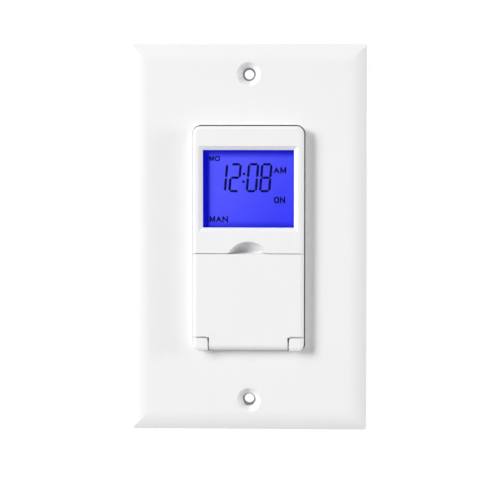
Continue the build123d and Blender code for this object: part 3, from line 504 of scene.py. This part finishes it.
@dataclass(frozen=True)
class LitGlass(Finish):
    """Back-lit display: a blue field whose painted shade makes it lighter towards its upper left, where the
    light comes from, and whose borders are deep blue: a painted shadow of the window's walls, partly the
    display's own darker rim.
    """

    near: Colour
    far: Colour
    shadow_tone: Colour
    glow: Colour
    painted_shadows: tuple[PaintedShadow, ...]
    tilt: float = 0.88
    span: Range = (-19.3, 5.9)

    FAR_SHADE_SHARE: ClassVar[Range] = (0.0, 0.9)
    CLOUD_PITCH: ClassVar[float] = 5.0
    CLOUD_SHARE: ClassVar[Range] = (0.0, 0.1)
    CLOUD_EDGE: ClassVar[Range] = (0.3, 0.7)
    GLOSS_PITCH: ClassVar[float] = 0.4
    ROUGHNESS: ClassVar[Range] = (0.16, 0.26)
    SHINE: ClassVar[float] = 0.04
    RIPPLE_PITCH: ClassVar[float] = 0.6
    DEPTH: ClassVar[float] = 0.0004

    def material(self) -> bpy.types.Material:
        """Builds the material.

        The field goes from its near tone to its far one by x less the tilt times z, over the span in
        millimetres: a painted shade, lighter towards the upper left where the light comes from. Over it each
        painted shadow of the window's walls darkens the field as far as its depth, and the deepest counts.

        Returns:
            The finished material.
        """
        recipe = Recipe(self.name)
        painted_shadow_share: Value = 0.0
        # Painted shadow of the window's walls, partly the display's own darker rim: each border darkens the
        # field.
        for shadow_band in self.painted_shadows:
            dark = recipe.spread(recipe.along(shadow_band.axis), (0.0, shadow_band.depth),
                                 (shadow_band.start * MM, shadow_band.end * MM))
            painted_shadow_share = recipe.worked_out("MAXIMUM", painted_shadow_share, dark)
        # Painted shade: the field darkens away from its upper left, where the light comes from.
        height = recipe.worked_out("MULTIPLY", recipe.along(Axis.Z), self.tilt)
        slope = recipe.worked_out("SUBTRACT", recipe.along(Axis.X), height)
        away = recipe.spread(slope, self.FAR_SHADE_SHARE, (self.span[0] * MM, self.span[1] * MM))
        cloud = recipe.spread(recipe.noise(self.CLOUD_PITCH), self.CLOUD_SHARE, self.CLOUD_EDGE)
        shaded_field = recipe.blend(recipe.worked_out("ADD", away, cloud), self.near, self.far)
        recipe.set(
            base_color=recipe.blend(painted_shadow_share, shaded_field, self.shadow_tone),
            roughness=recipe.spread(recipe.noise(self.GLOSS_PITCH), self.ROUGHNESS),
            specular_ior_level=self.SHINE,
            emission_color=self.glow,
            emission_strength=1.0,
        )
        recipe.bump(recipe.noise(self.RIPPLE_PITCH), self.DEPTH)
        return recipe.material


@dataclass(frozen=True)
class ClearPlastic(Finish):
    """Clear moulded plastic: mostly open, with a gloss that a faint orange peel breaks up."""

    colour: Colour
    cover: float
    roughness: float = 0.06
    shine: float = 0.5

    PEEL_PITCH: ClassVar[float] = 3.0
    PEEL_DETAIL: ClassVar[float] = 1.0
    CLOUD_PITCH: ClassVar[float] = 8.0
    CLOUD_DIM: ClassVar[float] = 0.9
    SMOOTHER: ClassVar[float] = 0.02
    ROUGHER: ClassVar[float] = 0.04
    DEPTH: ClassVar[float] = 0.002

    def material(self) -> bpy.types.Material:
        """Builds the material.

        Returns:
            The finished material.
        """
        recipe = Recipe(self.name)
        peel = recipe.noise(self.PEEL_PITCH, self.PEEL_DETAIL)
        recipe.set(
            base_color=recipe.blend(recipe.noise(self.CLOUD_PITCH), dim(self.colour, self.CLOUD_DIM),
                                    self.colour),
            roughness=recipe.spread(peel, (self.roughness - self.SMOOTHER, self.roughness + self.ROUGHER)),
            alpha=self.cover,
            specular_ior_level=self.shine,
            ior=PLASTIC_IOR,
        )
        recipe.bump(peel, self.DEPTH)
        return recipe.material


@dataclass(frozen=True)
class Layered(Finish):
    """A body in two tones by the way its surfaces look: its faces along one axis, and its sides."""

    sides: Colour
    faces: Colour
    axis: Axis = Axis.Y
    way: Way = Way.EITHER
    face_metal: float = 0.0
    roughness: float = 0.4
    face_roughness: float = 0.4

    GRAIN_PITCH: ClassVar[float] = 0.3
    GRAIN_DETAIL: ClassVar[float] = 3.0
    GRAIN_EDGE: ClassVar[Range] = (0.3, 0.7)
    GRAIN_DIM: ClassVar[float] = 0.88
    PLAY: ClassVar[float] = 0.05
    DEPTH: ClassVar[float] = 0.006

    def material(self) -> bpy.types.Material:
        """Builds the material.

        Returns:
            The finished material.
        """
        recipe = Recipe(self.name)
        share = recipe.facing(self.axis, self.way)
        grain = recipe.noise(self.GRAIN_PITCH, self.GRAIN_DETAIL)
        worn = recipe.spread(grain, FULL, self.GRAIN_EDGE)
        sides, faces = (recipe.blend(worn, dim(colour, self.GRAIN_DIM), colour)
                        for colour in (self.sides, self.faces))
        recipe.set(
            base_color=recipe.blend(share, sides, faces),
            metallic=recipe.spread(share, (0.0, self.face_metal)),
            roughness=recipe.worked_out("ADD", recipe.spread(share, (self.roughness, self.face_roughness)),
                                        recipe.spread(grain, round_about(0.0, self.PLAY))),
        )
        recipe.bump(grain, self.DEPTH)
        return recipe.material


@dataclass(frozen=True)
class Banded(Finish):
    """A body with parallel bands of a second tone across one axis, as layered rubber or a coded resistor."""

    body: Colour
    band: Colour
    axis: Axis
    pitch: float
    share: float = 0.5
    roughness: float = 0.4

    BAND_SOFTNESS: ClassVar[float] = 0.06
    GRAIN_PITCH: ClassVar[float] = 0.25
    GRAIN_DETAIL: ClassVar[float] = 3.0
    GRAIN_DIM: ClassVar[float] = 0.85
    PLAY: ClassVar[float] = 0.08
    DEPTH: ClassVar[float] = 0.01

    def material(self) -> bpy.types.Material:
        """Builds the material.

        Returns:
            The finished material.
        """
        recipe = Recipe(self.name)
        wave = recipe.spread(recipe.bands(self.axis, self.pitch), FULL,
                             round_about(self.share, self.BAND_SOFTNESS))
        grain = recipe.noise(self.GRAIN_PITCH, self.GRAIN_DETAIL)
        body = recipe.blend(grain, dim(self.body, self.GRAIN_DIM), self.body)
        recipe.set(
            base_color=recipe.blend(wave, body, self.band),
            roughness=recipe.spread(grain, round_about(self.roughness, self.PLAY)),
        )
        recipe.bump(recipe.worked_out("ADD", grain, wave), self.DEPTH)
        return recipe.material


# White shell, keys and other moulded pieces.
PLATE_WHITE = Moulded("plate_white", tone(243, 243, 244), Mould.POLISHED, drift=0.008, drift_pitch=40.0)
FACE_WHITE = Moulded("face_white", tone(243, 243, 244), drift=0.012, drift_pitch=20.0)
KEY_WHITE = Moulded("key_white", tone(232, 233, 233), Mould.SPARKED)
RESET_GREY = Moulded("reset_grey", tone(150, 152, 155), Mould.SPARKED)
FRAME_WHITE = Moulded("frame_white", tone(236, 236, 230))
LEGEND_INK = Moulded("legend_ink", tone(74, 78, 84), Mould.SPARKED, drift=0.1, drift_pitch=1.0)
HOUSING_BLACK = Moulded("housing_black", tone(38, 38, 40), Mould.COARSE, drift=0.12, drift_pitch=9.0)
SHEET_BLACK = Moulded("sheet_black", tone(46, 46, 48), drift=0.15, drift_pitch=4.0)
GUIDE_CLEAR = ClearPlastic("guide_clear", tone(226, 236, 240), cover=0.55, roughness=0.12)
LENS_CLEAR = ClearPlastic("lens_clear", tone(14, 16, 40), cover=0.10, shine=0.25)

# The lit display and its segments.
DISPLAY_BLUE = LitGlass(
    "display_blue",
    # The near and far tones paint shade: lighter at the upper left, where the light comes from, darker away
    # from it.
    near=(0.135, 0.143, 0.90, 1.0),
    far=(0.068, 0.076, 0.86, 1.0),
    # The deep blue of the painted shadow at the borders.
    shadow_tone=(0.003, 0.005, 0.24, 1.0),
    glow=(0.0, 0.0, 0.48, 1.0),
    # Painted shadows of the window's walls at the left, right, top and bottom of the display.
    painted_shadows=(PaintedShadow(Axis.X, -11.2, -12.0, 1.0), PaintedShadow(Axis.X, 12.95, 13.4, 0.9),
             PaintedShadow(Axis.Z, 23.6, 26.0, 1.0), PaintedShadow(Axis.Z, 5.4, 3.1, 0.75)),
)
# The segments' navy is partly painted light: the backlight that shows through them, put into their colour.
SEGMENT_NAVY = Moulded("segment_navy", (0.0004, 0.0004, 0.13, 1.0), Mould.POLISHED, drift=0.2,
                       drift_pitch=2.0, shine=0.05)

# Metal pieces.
STRAP_STEEL = Plated("strap_steel", tone(152, 155, 158), tone(134, 141, 149))
SCREW_STEEL = Plated("screw_steel", tone(184, 186, 190), tone(172, 178, 188), Axis.X, roughness=0.28)
CAN_STEEL = Plated("can_steel", tone(200, 200, 200), tone(190, 192, 196), Axis.X, roughness=0.22)
CELL_STEEL = Plated("cell_steel", tone(206, 205, 202), tone(198, 197, 196), roughness=0.2)
TAB_BRASS = Plated("tab_brass", tone(206, 180, 118), tone(190, 186, 176), roughness=0.3)
GROUND_GREEN = Layered("ground_green", tone(24, 120, 60), tone(30, 132, 68), roughness=0.32,
                       face_roughness=0.28)

# The circuit boards, what they carry, and the parts that light the display and join it to them.
BOARD_GREEN = Laminate("board_green")
CHIP_BLACK = Moulded("chip_black", tone(34, 34, 36), Mould.SPARKED, drift=0.10, drift_pitch=2.0)
RELAY_BLUE = Moulded("relay_blue", tone(28, 84, 152), drift=0.08)
CAPACITOR_YELLOW = Moulded("capacitor_yellow", tone(222, 176, 52), Mould.SPARKED, drift=0.08)
VARISTOR_BLUE = Moulded("varistor_blue", tone(36, 96, 158), Mould.POLISHED, drift=0.15, drift_pitch=3.0)
SWITCH_BLACK = Layered("switch_black", tone(36, 36, 38), tone(176, 178, 180), way=Way.NEGATIVE,
                       face_metal=1.0, roughness=0.45, face_roughness=0.3)
SLEEVE_BLACK = Layered("sleeve_black", tone(30, 34, 52), tone(178, 180, 182), face_metal=1.0,
                       roughness=0.3, face_roughness=0.35)
LAMP_BODY = Layered("lamp_body", tone(240, 240, 236), tone(236, 214, 120), Axis.Z, Way.NEGATIVE,
                    face_roughness=0.3)
RUBBER_STRIP = Banded("rubber_strip", tone(40, 40, 42), tone(206, 150, 150), Axis.X, 0.36, roughness=0.6)
RESISTOR_GREEN = Banded("resistor_green", tone(74, 120, 92), tone(52, 44, 40), Axis.X, 2.4, share=0.86,
                        roughness=0.35)


@lru_cache(maxsize=None)
def made(finish: Finish) -> bpy.types.Material:
    """The material of a finish, built on first use and kept for the next."""
    return finish.material()


def dress(finish: Finish, *nodes: str) -> None:
    """Puts one finish on every material slot of some nodes of the frame.

    Args:
        finish: The finish.
        *nodes: Names of the nodes.
    """
    material = made(finish)
    for name in nodes:
        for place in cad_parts[name].material_slots:
            place.material = material
        LOG.info("%s: finish %s", name, finish.name)


def joined(parts: list[Mesh]) -> Mesh:
    """Puts several meshes into one, with each mesh's face numbers moved past the points before it.

    Args:
        parts: Points and faces of each mesh.

    Returns:
        Points and faces of the whole.
    """
    starts = np.cumsum([0] + [len(points) for points, _ in parts[:-1]])
    faces = [tuple(int(corner + start) for corner in face)
             for (_, each), start in zip(parts, starts) for face in each]
    return np.concatenate([points for points, _ in parts]), faces


def placed(name: str, data: bpy.types.ID) -> bpy.types.Object:
    """Makes an object of some data and links it into the scene.

    Args:
        name: Name of the object.
        data: Its mesh, lamp or camera.

    Returns:
        The object.
    """
    item = bpy.data.objects.new(name, data)
    bpy.context.scene.collection.objects.link(item)
    return item


def piece(name: str, mesh: Mesh, finish: Finish, body: str) -> None:
    """Makes an object from points in millimetres, dresses it and sets it on its body.

    Args:
        name: Name of the piece.
        mesh: Points, one row each, and faces.
        finish: The finish.
        body: The body that it rides on.
    """
    points, faces = mesh
    data = bpy.data.meshes.new(name)
    data.from_pydata((points * MM).tolist(), [], faces)
    data.validate()
    data.materials.append(made(finish))
    item = placed(name, data)
    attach(item, body)
    LOG.info("%s: %d faces, rides on %s", name, len(faces), body)


def slab(outline: np.ndarray, back: float, front: float) -> Mesh:
    """A flat form: the outline stands at the back and front levels, and quads join the two rings.

    Args:
        outline: Points (x, z) in order, counter-clockwise as seen from the front.
        back: y of the back in millimetres.
        front: y of the front, which is less.

    Returns:
        Points and faces, which look outwards.
    """
    count = len(outline)
    levels = np.repeat((back, front), count)
    points = np.stack([np.tile(outline[:, 0], 2), levels, np.tile(outline[:, 1], 2)], 1)
    here = np.arange(count)
    following = (here + 1) % count
    sides = np.stack([here, following, following + count, here + count], 1)
    return points, [tuple(here[::-1]), tuple(here + count)] + [tuple(side) for side in sides]


def ribbon(path: np.ndarray, width: float, back: float, front: float) -> Mesh:
    """A stroke: a flat bar of one width carried along a path, square at both ends and mitred at each bend.

    The first and the last point go outwards along their runs by half the width. Each point's sideways step
    is the sum of the normals of the runs before and after it, made as long as keeps the bar's width: half
    the width over one plus the cosine between the two runs, times that sum.

    Args:
        path: Points (x, z) of the middle line in millimetres.
        width: Width of the stroke.
        back: y of the back.
        front: y of the front, which is less.

    Returns:
        Points and faces, which look outwards.
    """
    half = width / 2
    runs = np.diff(path, axis=0)
    runs = runs / np.linalg.norm(runs, axis=1, keepdims=True)
    path = np.vstack([path[:1] - runs[:1] * half, path[1:-1], path[-1:] + runs[-1:] * half])
    normals = np.stack([-runs[:, 1], runs[:, 0]], 1)
    before = np.vstack([normals[:1], normals])
    after = np.vstack([normals, normals[-1:]])
    step = (before + after) * half / (1.0 + (before * after).sum(1, keepdims=True))
    return slab(np.vstack([path - step, (path + step)[::-1]]), back, front)


@dataclass
class StrokeLetters:
    """Plain capital letters drawn as strokes on a cell one wide and one high."""

    width: float
    height: float
    gap: float
    stroke: float
    forms: dict[str, tuple[Stroke, ...]] = field(default_factory=lambda: {
        "A": (((0, 0), (0.5, 0.88), (1, 0)), ((0.34, 0.34), (0.66, 0.34))),
        "C": (((1, 0.82), (0.78, 1), (0.22, 1), (0, 0.8), (0, 0.2), (0.22, 0), (0.78, 0), (1, 0.18)),),
        "D": (((0, 0), (0, 1), (0.66, 1), (1, 0.76), (1, 0.24), (0.66, 0), (0, 0)),),
        "E": (((1, 1), (0, 1), (0, 0), (1, 0)), ((0, 0.52), (0.8, 0.52))),
        "F": (((1, 1), (0, 1), (0, 0)), ((0, 0.5), (0.8, 0.5))),
        "G": (((1, 0.84), (0.78, 1), (0.22, 1), (0, 0.8), (0, 0.2), (0.22, 0), (1, 0), (1, 0.46),
               (0.56, 0.46)),),
        "H": (((0, 0), (0, 1)), ((1, 0), (1, 1)), ((0, 0.5), (1, 0.5))),
        "I": (((0.5, 0), (0.5, 1)),),
        "K": (((0, 0), (0, 1)), ((1, 1), (0.1, 0.48), (1, 0))),
        "L": (((0, 1), (0, 0), (1, 0)),),
        "M": (((0, 0), (0, 1)), ((1, 0), (1, 1)), ((0.08, 0.88), (0.5, 0.14), (0.92, 0.88))),
        "N": (((0, 0), (0, 1)), ((1, 0), (1, 1)), ((0.08, 0.88), (0.92, 0.12))),
        "O": (((0.5, 1), (0.2, 1), (0, 0.8), (0, 0.2), (0.2, 0), (0.8, 0), (1, 0.2), (1, 0.8), (0.8, 1),
               (0.44, 1)),),
        "P": (((0, 0), (0, 1), (0.74, 1), (1, 0.86), (1, 0.6), (0.74, 0.46), (0, 0.46)),),
        "R": (((0, 0), (0, 1), (0.74, 1), (1, 0.86), (1, 0.62), (0.74, 0.48), (0, 0.48)),
              ((0.5, 0.48), (1, 0))),
        "U": (((0, 1), (0, 0.2), (0.22, 0), (0.78, 0), (1, 0.2), (1, 1)),),
        "Y": (((0, 1), (0.5, 0.5), (1, 1)), ((0.5, 0.5), (0.5, 0))),
        "/": (((0.1, -0.05), (0.9, 1.05)),),
    })

    def length(self, text: str) -> float:
        """Length of a word: its letters' widths and the gaps between them."""
        return len(text) * self.width + (len(text) - 1) * self.gap

    def word(self, text: str, left: float, bottom: float, back: float, front: float) -> Mesh:
        """Draws a word: each letter's strokes are scaled to its cell and moved along by its place.

        Args:
            text: The word.
            left: x of its left end in millimetres.
            bottom: z of its foot.
            back: y of the back of the strokes.
            front: y of their front.

        Returns:
            Points and faces of the word.
        """
        inner = np.array((self.width - self.stroke, self.height - self.stroke))
        parts = []
        for place, letter in enumerate(text):
            corner = np.array((left + place * (self.width + self.gap), bottom)) + self.stroke / 2
            parts += [ribbon(np.array(line) * inner + corner, self.stroke, back, front)
                      for line in self.forms[letter]]
        return joined(parts)


class SubAssembly:
    """A group of pieces that belong together."""

    def build(self) -> None:
        """Builds and dresses the group, which each group does in its own way."""
        raise NotImplementedError


@dataclass
class WallPlate(SubAssembly):
    """The bevelled wall plate."""

    node: str = "wall_plate"

    def build(self) -> None:
        """Dresses the plate."""
        dress(PLATE_WHITE, self.node)


@dataclass
class Face(SubAssembly):
    """Bezel, door and lens in front of the display."""

    shell: tuple[str, ...] = ("front_bezel", "cover_door")
    lens: str = "display_lens"

    def build(self) -> None:
        """Dresses the shell and the lens."""
        dress(FACE_WHITE, *self.shell)
        dress(LENS_CLEAR, self.lens)


class Segment(Enum):
    """The seven bars of a digit, each from one corner to another of a grid one wide and two high."""

    TOP = ((0, 2), (1, 2))
    UPPER_LEFT = ((0, 1), (0, 2))
    UPPER_RIGHT = ((1, 1), (1, 2))
    MIDDLE = ((0, 1), (1, 1))
    LOWER_LEFT = ((0, 0), (0, 1))
    LOWER_RIGHT = ((1, 0), (1, 1))
    BOTTOM = ((0, 0), (1, 0))


@dataclass(frozen=True)
class DisplayWord:
    """A word of the display: place of its lower left corner, size of its letters and width of its lines."""

    text: str
    left: float
    bottom: float
    width: float
    height: float
    line: float


@dataclass
class Display(SubAssembly):
    """The lit display: its glass, what holds and lights it, and its digits and words."""

    time: str = "1208"
    digit_height: float = 7.93
    digit_width: float = 2.67
    slant: float = 0.088
    bar: float = 0.68
    corner_gap: float = 0.10
    digit_bottom: float = 13.98
    digit_left: tuple[float, ...] = (-9.69, -5.70, -0.54, 3.38)
    colon_x: float = -1.80
    colon_z: tuple[float, float] = (16.78, 19.06)
    dot: float = 0.66
    ink: float = 0.02
    words: tuple[DisplayWord, ...] = (
        DisplayWord("MO", -11.66, 22.86, 1.46, 1.46, 0.32),
        DisplayWord("AM", 7.36, 19.23, 1.74, 1.84, 0.38),
        DisplayWord("ON", 7.46, 10.40, 1.53, 1.89, 0.40),
        DisplayWord("MAN", -11.57, 4.76, 1.64, 1.84, 0.37),
    )
    word_gap: float = 0.26
    figures: dict[str, tuple[Segment, ...]] = field(default_factory=lambda: {
        "0": tuple(segment for segment in Segment if segment is not Segment.MIDDLE),
        "1": (Segment.UPPER_RIGHT, Segment.LOWER_RIGHT),
        "2": (Segment.TOP, Segment.UPPER_RIGHT, Segment.MIDDLE, Segment.LOWER_LEFT, Segment.BOTTOM),
        "8": tuple(Segment),
    })

    def levels(self) -> Range:
        """Back and front of the segments: from just inside the glass to its film, in front of it."""
        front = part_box("lcd_glass")[0].y / MM
        return front + INK_ROOT, front - self.ink

    def lean(self, points: np.ndarray) -> np.ndarray:
        """Slants points (x, z): x grows with the height above the digits' foot, times the slant."""
        return points + np.stack([self.slant * (points[:, 1] - self.digit_bottom), np.zeros(len(points))], 1)

    def bar_mesh(self, segment: Segment, left: float) -> Mesh:
        """One bar of a digit, six-sided: a straight run with pointed ends, slanted with its digit.

        Its middle line runs between two corners of the digit, shortened by the corner gap. The six points
        are the two tips and, half a bar in from each, two points half a bar to either side.

        Args:
            segment: Which of the seven bars.
            left: x of the digit's left line at its foot.

        Returns:
            Points and faces.
        """
        cell = np.array((self.digit_width, self.digit_height / 2))
        start, end = (np.array(corner) * cell + (left, self.digit_bottom) for corner in segment.value)
        run = (end - start) / np.linalg.norm(end - start)
        side = np.array((-run[1], run[0])) * self.bar / 2
        tip = run * self.bar / 2
        start = start + run * self.corner_gap
        end = end - run * self.corner_gap
        right_side = [start + tip - side, end - tip - side]
        left_side = [end - tip + side, start + tip + side]
        return slab(self.lean(np.array([start, *right_side, end, *left_side])), *self.levels())

    def dot_mesh(self, height: float) -> Mesh:
        """One dot of the colon: a square of the dot's size, slanted with the digits."""
        corners = np.array([(-0.5, -0.5), (0.5, -0.5), (0.5, 0.5), (-0.5, 0.5)]) * self.dot
        return slab(self.lean(corners + (self.colon_x, height)), *self.levels())

    def build(self) -> None:
        """Dresses the glass and its carriers, and adds the digits and words."""
        dress(DISPLAY_BLUE, "lcd_glass")
        dress(FRAME_WHITE, "lcd_frame")
        dress(GUIDE_CLEAR, "light_guide")
        dress(LAMP_BODY, "backlight_leds")
        dress(RUBBER_STRIP, "contact_strip")
        bars = [self.bar_mesh(segment, left) for figure, left in zip(self.time, self.digit_left)
                for segment in self.figures[figure]]
        dots = [self.dot_mesh(height) for height in self.colon_z]
        piece("display_digits", joined(bars + dots), SEGMENT_NAVY, "device")
        lines = [StrokeLetters(word.width, word.height, self.word_gap, word.line).word(
            word.text, word.left, word.bottom, *self.levels()) for word in self.words]
        piece("display_words", joined(lines), SEGMENT_NAVY, "device")


@dataclass
class KeyPad(SubAssembly):
    """The eight keys behind the door, seven of them with a printed legend, and their switches.

    Each row of the legends names a key's node, its body and the word on it.
    """

    letter_width: float = 0.80
    letter_height: float = 1.15
    letter_gap: float = 0.26
    line: float = 0.17
    ink: float = 0.015
    legends: tuple[tuple[str, str, str], ...] = (
        ("on_off_key", "on_off", "ON/OFF"),
        ("program_key", "program_button", "PROG"),
        ("day_key", "day_button", "DAY"),
        ("clock_key", "clock_button", "CLOCK"),
        ("mode_key", "mode_button", "MODE"),
        ("hour_key", "hour_button", "HOUR"),
        ("minute_key", "minute_button", "MIN"),
    )

    def build(self) -> None:
        """Dresses keys and switches, and prints a legend on the middle of each key's top."""
        dress(KEY_WHITE, *(node for node, _, _ in self.legends))
        dress(RESET_GREY, "reset_key")
        dress(SWITCH_BLACK, "key_switches")
        letters = StrokeLetters(self.letter_width, self.letter_height, self.letter_gap, self.line)
        for node, body, text in self.legends:
            low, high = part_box(node)
            middle = (low + high) / 2 / MM
            top = low.y / MM
            left = middle.x - letters.length(text) / 2
            bottom = middle.z - self.letter_height / 2
            word = letters.word(text, left, bottom, top + INK_ROOT, top - self.ink)
            piece(f"legend_{body}", word, LEGEND_INK, body)


@dataclass
class Electronics(SubAssembly):
    """Both circuit boards and what they carry."""

    boards: tuple[str, ...] = ("control_board", "power_board")
    black_parts: tuple[str, ...] = ("controller_chip", "board_header", "bridge_rectifier")

    def build(self) -> None:
        """Dresses the boards and their parts."""
        dress(BOARD_GREEN, *self.boards)
        dress(CHIP_BLACK, *self.black_parts)
        dress(CAN_STEEL, "clock_crystal")
        dress(CELL_STEEL, "backup_cell")
        dress(SHEET_BLACK, "insulating_sheet")
        dress(RELAY_BLUE, "load_relay")
        dress(CAPACITOR_YELLOW, "film_capacitor")
        dress(SLEEVE_BLACK, "can_capacitors")
        dress(VARISTOR_BLUE, "surge_varistor")
        dress(RESISTOR_GREEN, "fusible_resistor")
        dress(TAB_BRASS, "lead_tabs")


@dataclass
class Case(SubAssembly):
    """Rear housing, mounting strap and the screws."""

    housing: str = "rear_housing"
    strap: str = "mounting_strap"

    def build(self) -> None:
        """Dresses housing, strap and screws."""
        dress(HOUSING_BLACK, self.housing)
        dress(SCREW_STEEL, "housing_screws")
        dress(STRAP_STEEL, self.strap)
        dress(GROUND_GREEN, "ground_screw")


@dataclass(frozen=True)
class Lamp:
    """A round soft lamp: where it hangs in degrees and metres, its width in metres and its watts."""

    name: str
    azimuth: float
    elevation: float
    distance: float
    size: float
    power: float


def towards(azimuth: float, elevation: float) -> Vector:
    """Unit vector away from the object: (sin turn cos rise, -cos turn cos rise, sin rise)."""
    turn, rise = math.radians(azimuth), math.radians(elevation)
    return Vector((math.sin(turn) * math.cos(rise), -math.cos(turn) * math.cos(rise), math.sin(rise)))


def aim(item: bpy.types.Object, place: Vector, target: Vector) -> None:
    """Sets an item down and turns its own -z axis to a target.

    Args:
        item: Camera or lamp.
        place: Where it stands.
        target: What it looks at.
    """
    item.location = place
    item.rotation_euler = (target - place).to_track_quat("-Z", "Y").to_euler()


@dataclass
class Studio(SubAssembly):
    """Floor, lamps, white surroundings and the camera at the photograph's angle."""

    azimuth: float = 2.707
    elevation: float = 3.845
    distance: float = 0.576
    target: tuple[float, float, float] = (0.0001, 0.0, -0.0039)
    focal_pixels: float = 1923.0
    frame_pixels: float = 500.0
    sensor: float = 36.0
    near_clip: float = 0.01
    far_clip: float = 20.0
    surround: float = 0.23
    floor_level: float = -0.30
    floor_reach: float = 1.0
    floor_lines: int = 9
    floor_colour: Colour = tone(205, 205, 205)
    floor_roughness: float = 0.9
    floor_white: float = 0.65
    lamps: tuple[Lamp, ...] = (
        Lamp("broad_left", -51.0, 17.0, 3.6, 1.70, 76.0),
        Lamp("key_left", -47.0, 17.0, 3.6, 0.90, 26.0),
        Lamp("high_left", -45.0, 35.0, 3.6, 0.90, 20.0),
        Lamp("rim_right", 78.0, 8.0, 3.6, 1.40, 57.0),
        Lamp("back_left", -150.0, 4.0, 3.6, 0.50, 52.0),
        Lamp("back_right", 150.0, 2.0, 3.6, 0.50, 46.0),
    )

    def camera(self) -> None:
        """Places the camera that was fitted to the photograph."""
        data = bpy.data.cameras.new("camera")
        data.sensor_fit = "HORIZONTAL"
        data.sensor_width = self.sensor
        data.lens = self.focal_pixels / self.frame_pixels * self.sensor
        data.clip_start = self.near_clip
        data.clip_end = self.far_clip
        item = placed("camera", data)
        target = Vector(self.target)
        aim(item, target + towards(self.azimuth, self.elevation) * self.distance, target)
        bpy.context.scene.camera = item

    def light(self) -> None:
        """Hangs the lamps round the object."""
        for lamp in self.lamps:
            data = bpy.data.lights.new(lamp.name, "AREA")
            data.shape = "DISK"
            data.size = lamp.size
            data.energy = lamp.power
            place = towards(lamp.azimuth, lamp.elevation) * lamp.distance
            aim(placed(lamp.name, data), place, Vector((0.0, 0.0, 0.0)))
            LOG.info("%s: %.1f W", lamp.name, lamp.power)

    def white_to_eye(self, tree: bpy.types.NodeTree) -> bpy.types.NodeSocket:
        """1 for camera, glossy and transmission rays, which see the surroundings as plain white.

        Args:
            tree: The node tree that takes it.

        Returns:
            The share.
        """
        path = tree.nodes.new("ShaderNodeLightPath")
        most = path.outputs["Is Camera Ray"]
        for name in ("Is Glossy Ray", "Is Transmission Ray"):
            node = tree.nodes.new("ShaderNodeMath")
            node.operation = "MAXIMUM"
            tree.links.new(most, node.inputs[0])
            tree.links.new(path.outputs[name], node.inputs[1])
            most = node.outputs["Value"]
        return most

    def mix_out(self, tree: bpy.types.NodeTree, output: str, *sources: bpy.types.NodeSocket) -> None:
        """Mixes two shaders into the output of a node tree.

        Args:
            tree: The node tree.
            output: Name of its output node.
            *sources: Share of the second shader, the first shader and the second one.
        """
        mix = tree.nodes.new("ShaderNodeMixShader")
        for source, socket in zip(sources, mix.inputs):
            tree.links.new(source, socket)
        tree.links.new(mix.outputs["Shader"], tree.nodes[output].inputs["Surface"])

    def world(self) -> None:
        """Surrounds the scene with soft white light, seen as plain white."""
        world = bpy.data.worlds.new("studio")
        bpy.context.scene.world = world
        world.use_nodes = True
        tree = world.node_tree
        soft = tree.nodes["Background"]
        soft.inputs["Color"].default_value = WHITE
        soft.inputs["Strength"].default_value = self.surround
        seen = tree.nodes.new("ShaderNodeBackground")
        seen.inputs["Color"].default_value = WHITE
        self.mix_out(tree, "World Output", self.white_to_eye(tree), soft.outputs["Background"],
                     seen.outputs["Background"])

    def floor_material(self) -> bpy.types.Material:
        """A pale matt floor that is part white light to the eye.

        Returns:
            The material.
        """
        material = bpy.data.materials.new("floor_white")
        material.use_nodes = True
        tree = material.node_tree
        shader = tree.nodes["Principled BSDF"]
        shader.inputs["Base Color"].default_value = self.floor_colour
        shader.inputs["Roughness"].default_value = self.floor_roughness
        glow = tree.nodes.new("ShaderNodeEmission")
        share = tree.nodes.new("ShaderNodeMath")
        share.operation = "MULTIPLY"
        share.inputs[1].default_value = self.floor_white
        tree.links.new(self.white_to_eye(tree), share.inputs[0])
        self.mix_out(tree, "Material Output", share.outputs["Value"], shader.outputs["BSDF"],
                     glow.outputs["Emission"])
        return material

    def floor(self) -> None:
        """Lays the floor: a level grid, whose height is the same everywhere."""
        count = self.floor_lines
        line = np.linspace(-self.floor_reach, self.floor_reach, count)
        across, along = np.meshgrid(line, line, indexing="ij")
        points = np.stack([across.ravel(), along.ravel(), np.full(count * count, self.floor_level)], 1)
        first = (np.arange(count - 1)[:, None] * count + np.arange(count - 1)).ravel()
        quads = np.stack([first, first + count, first + count + 1, first + 1], 1)
        data = bpy.data.meshes.new("floor")
        data.from_pydata(points.tolist(), [], quads.tolist())
        data.materials.append(self.floor_material())
        item = placed("floor", data)

    def build(self) -> None:
        """Sets up camera, lamps, surroundings and floor."""
        self.camera()
        self.light()
        self.world()
        self.floor()
        bpy.context.scene.view_settings.view_transform = "Standard"


def main() -> None:
    """Builds every sub-assembly in order."""
    logging.basicConfig(level=logging.INFO, format="%(name)s: %(message)s")
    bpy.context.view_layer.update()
    for assembly in (Studio(), WallPlate(), Face(), Display(), KeyPad(), Electronics(), Case()):
        assembly.build()
        LOG.info("%s is done", type(assembly).__name__)


if __name__ == "__main__":
    main()
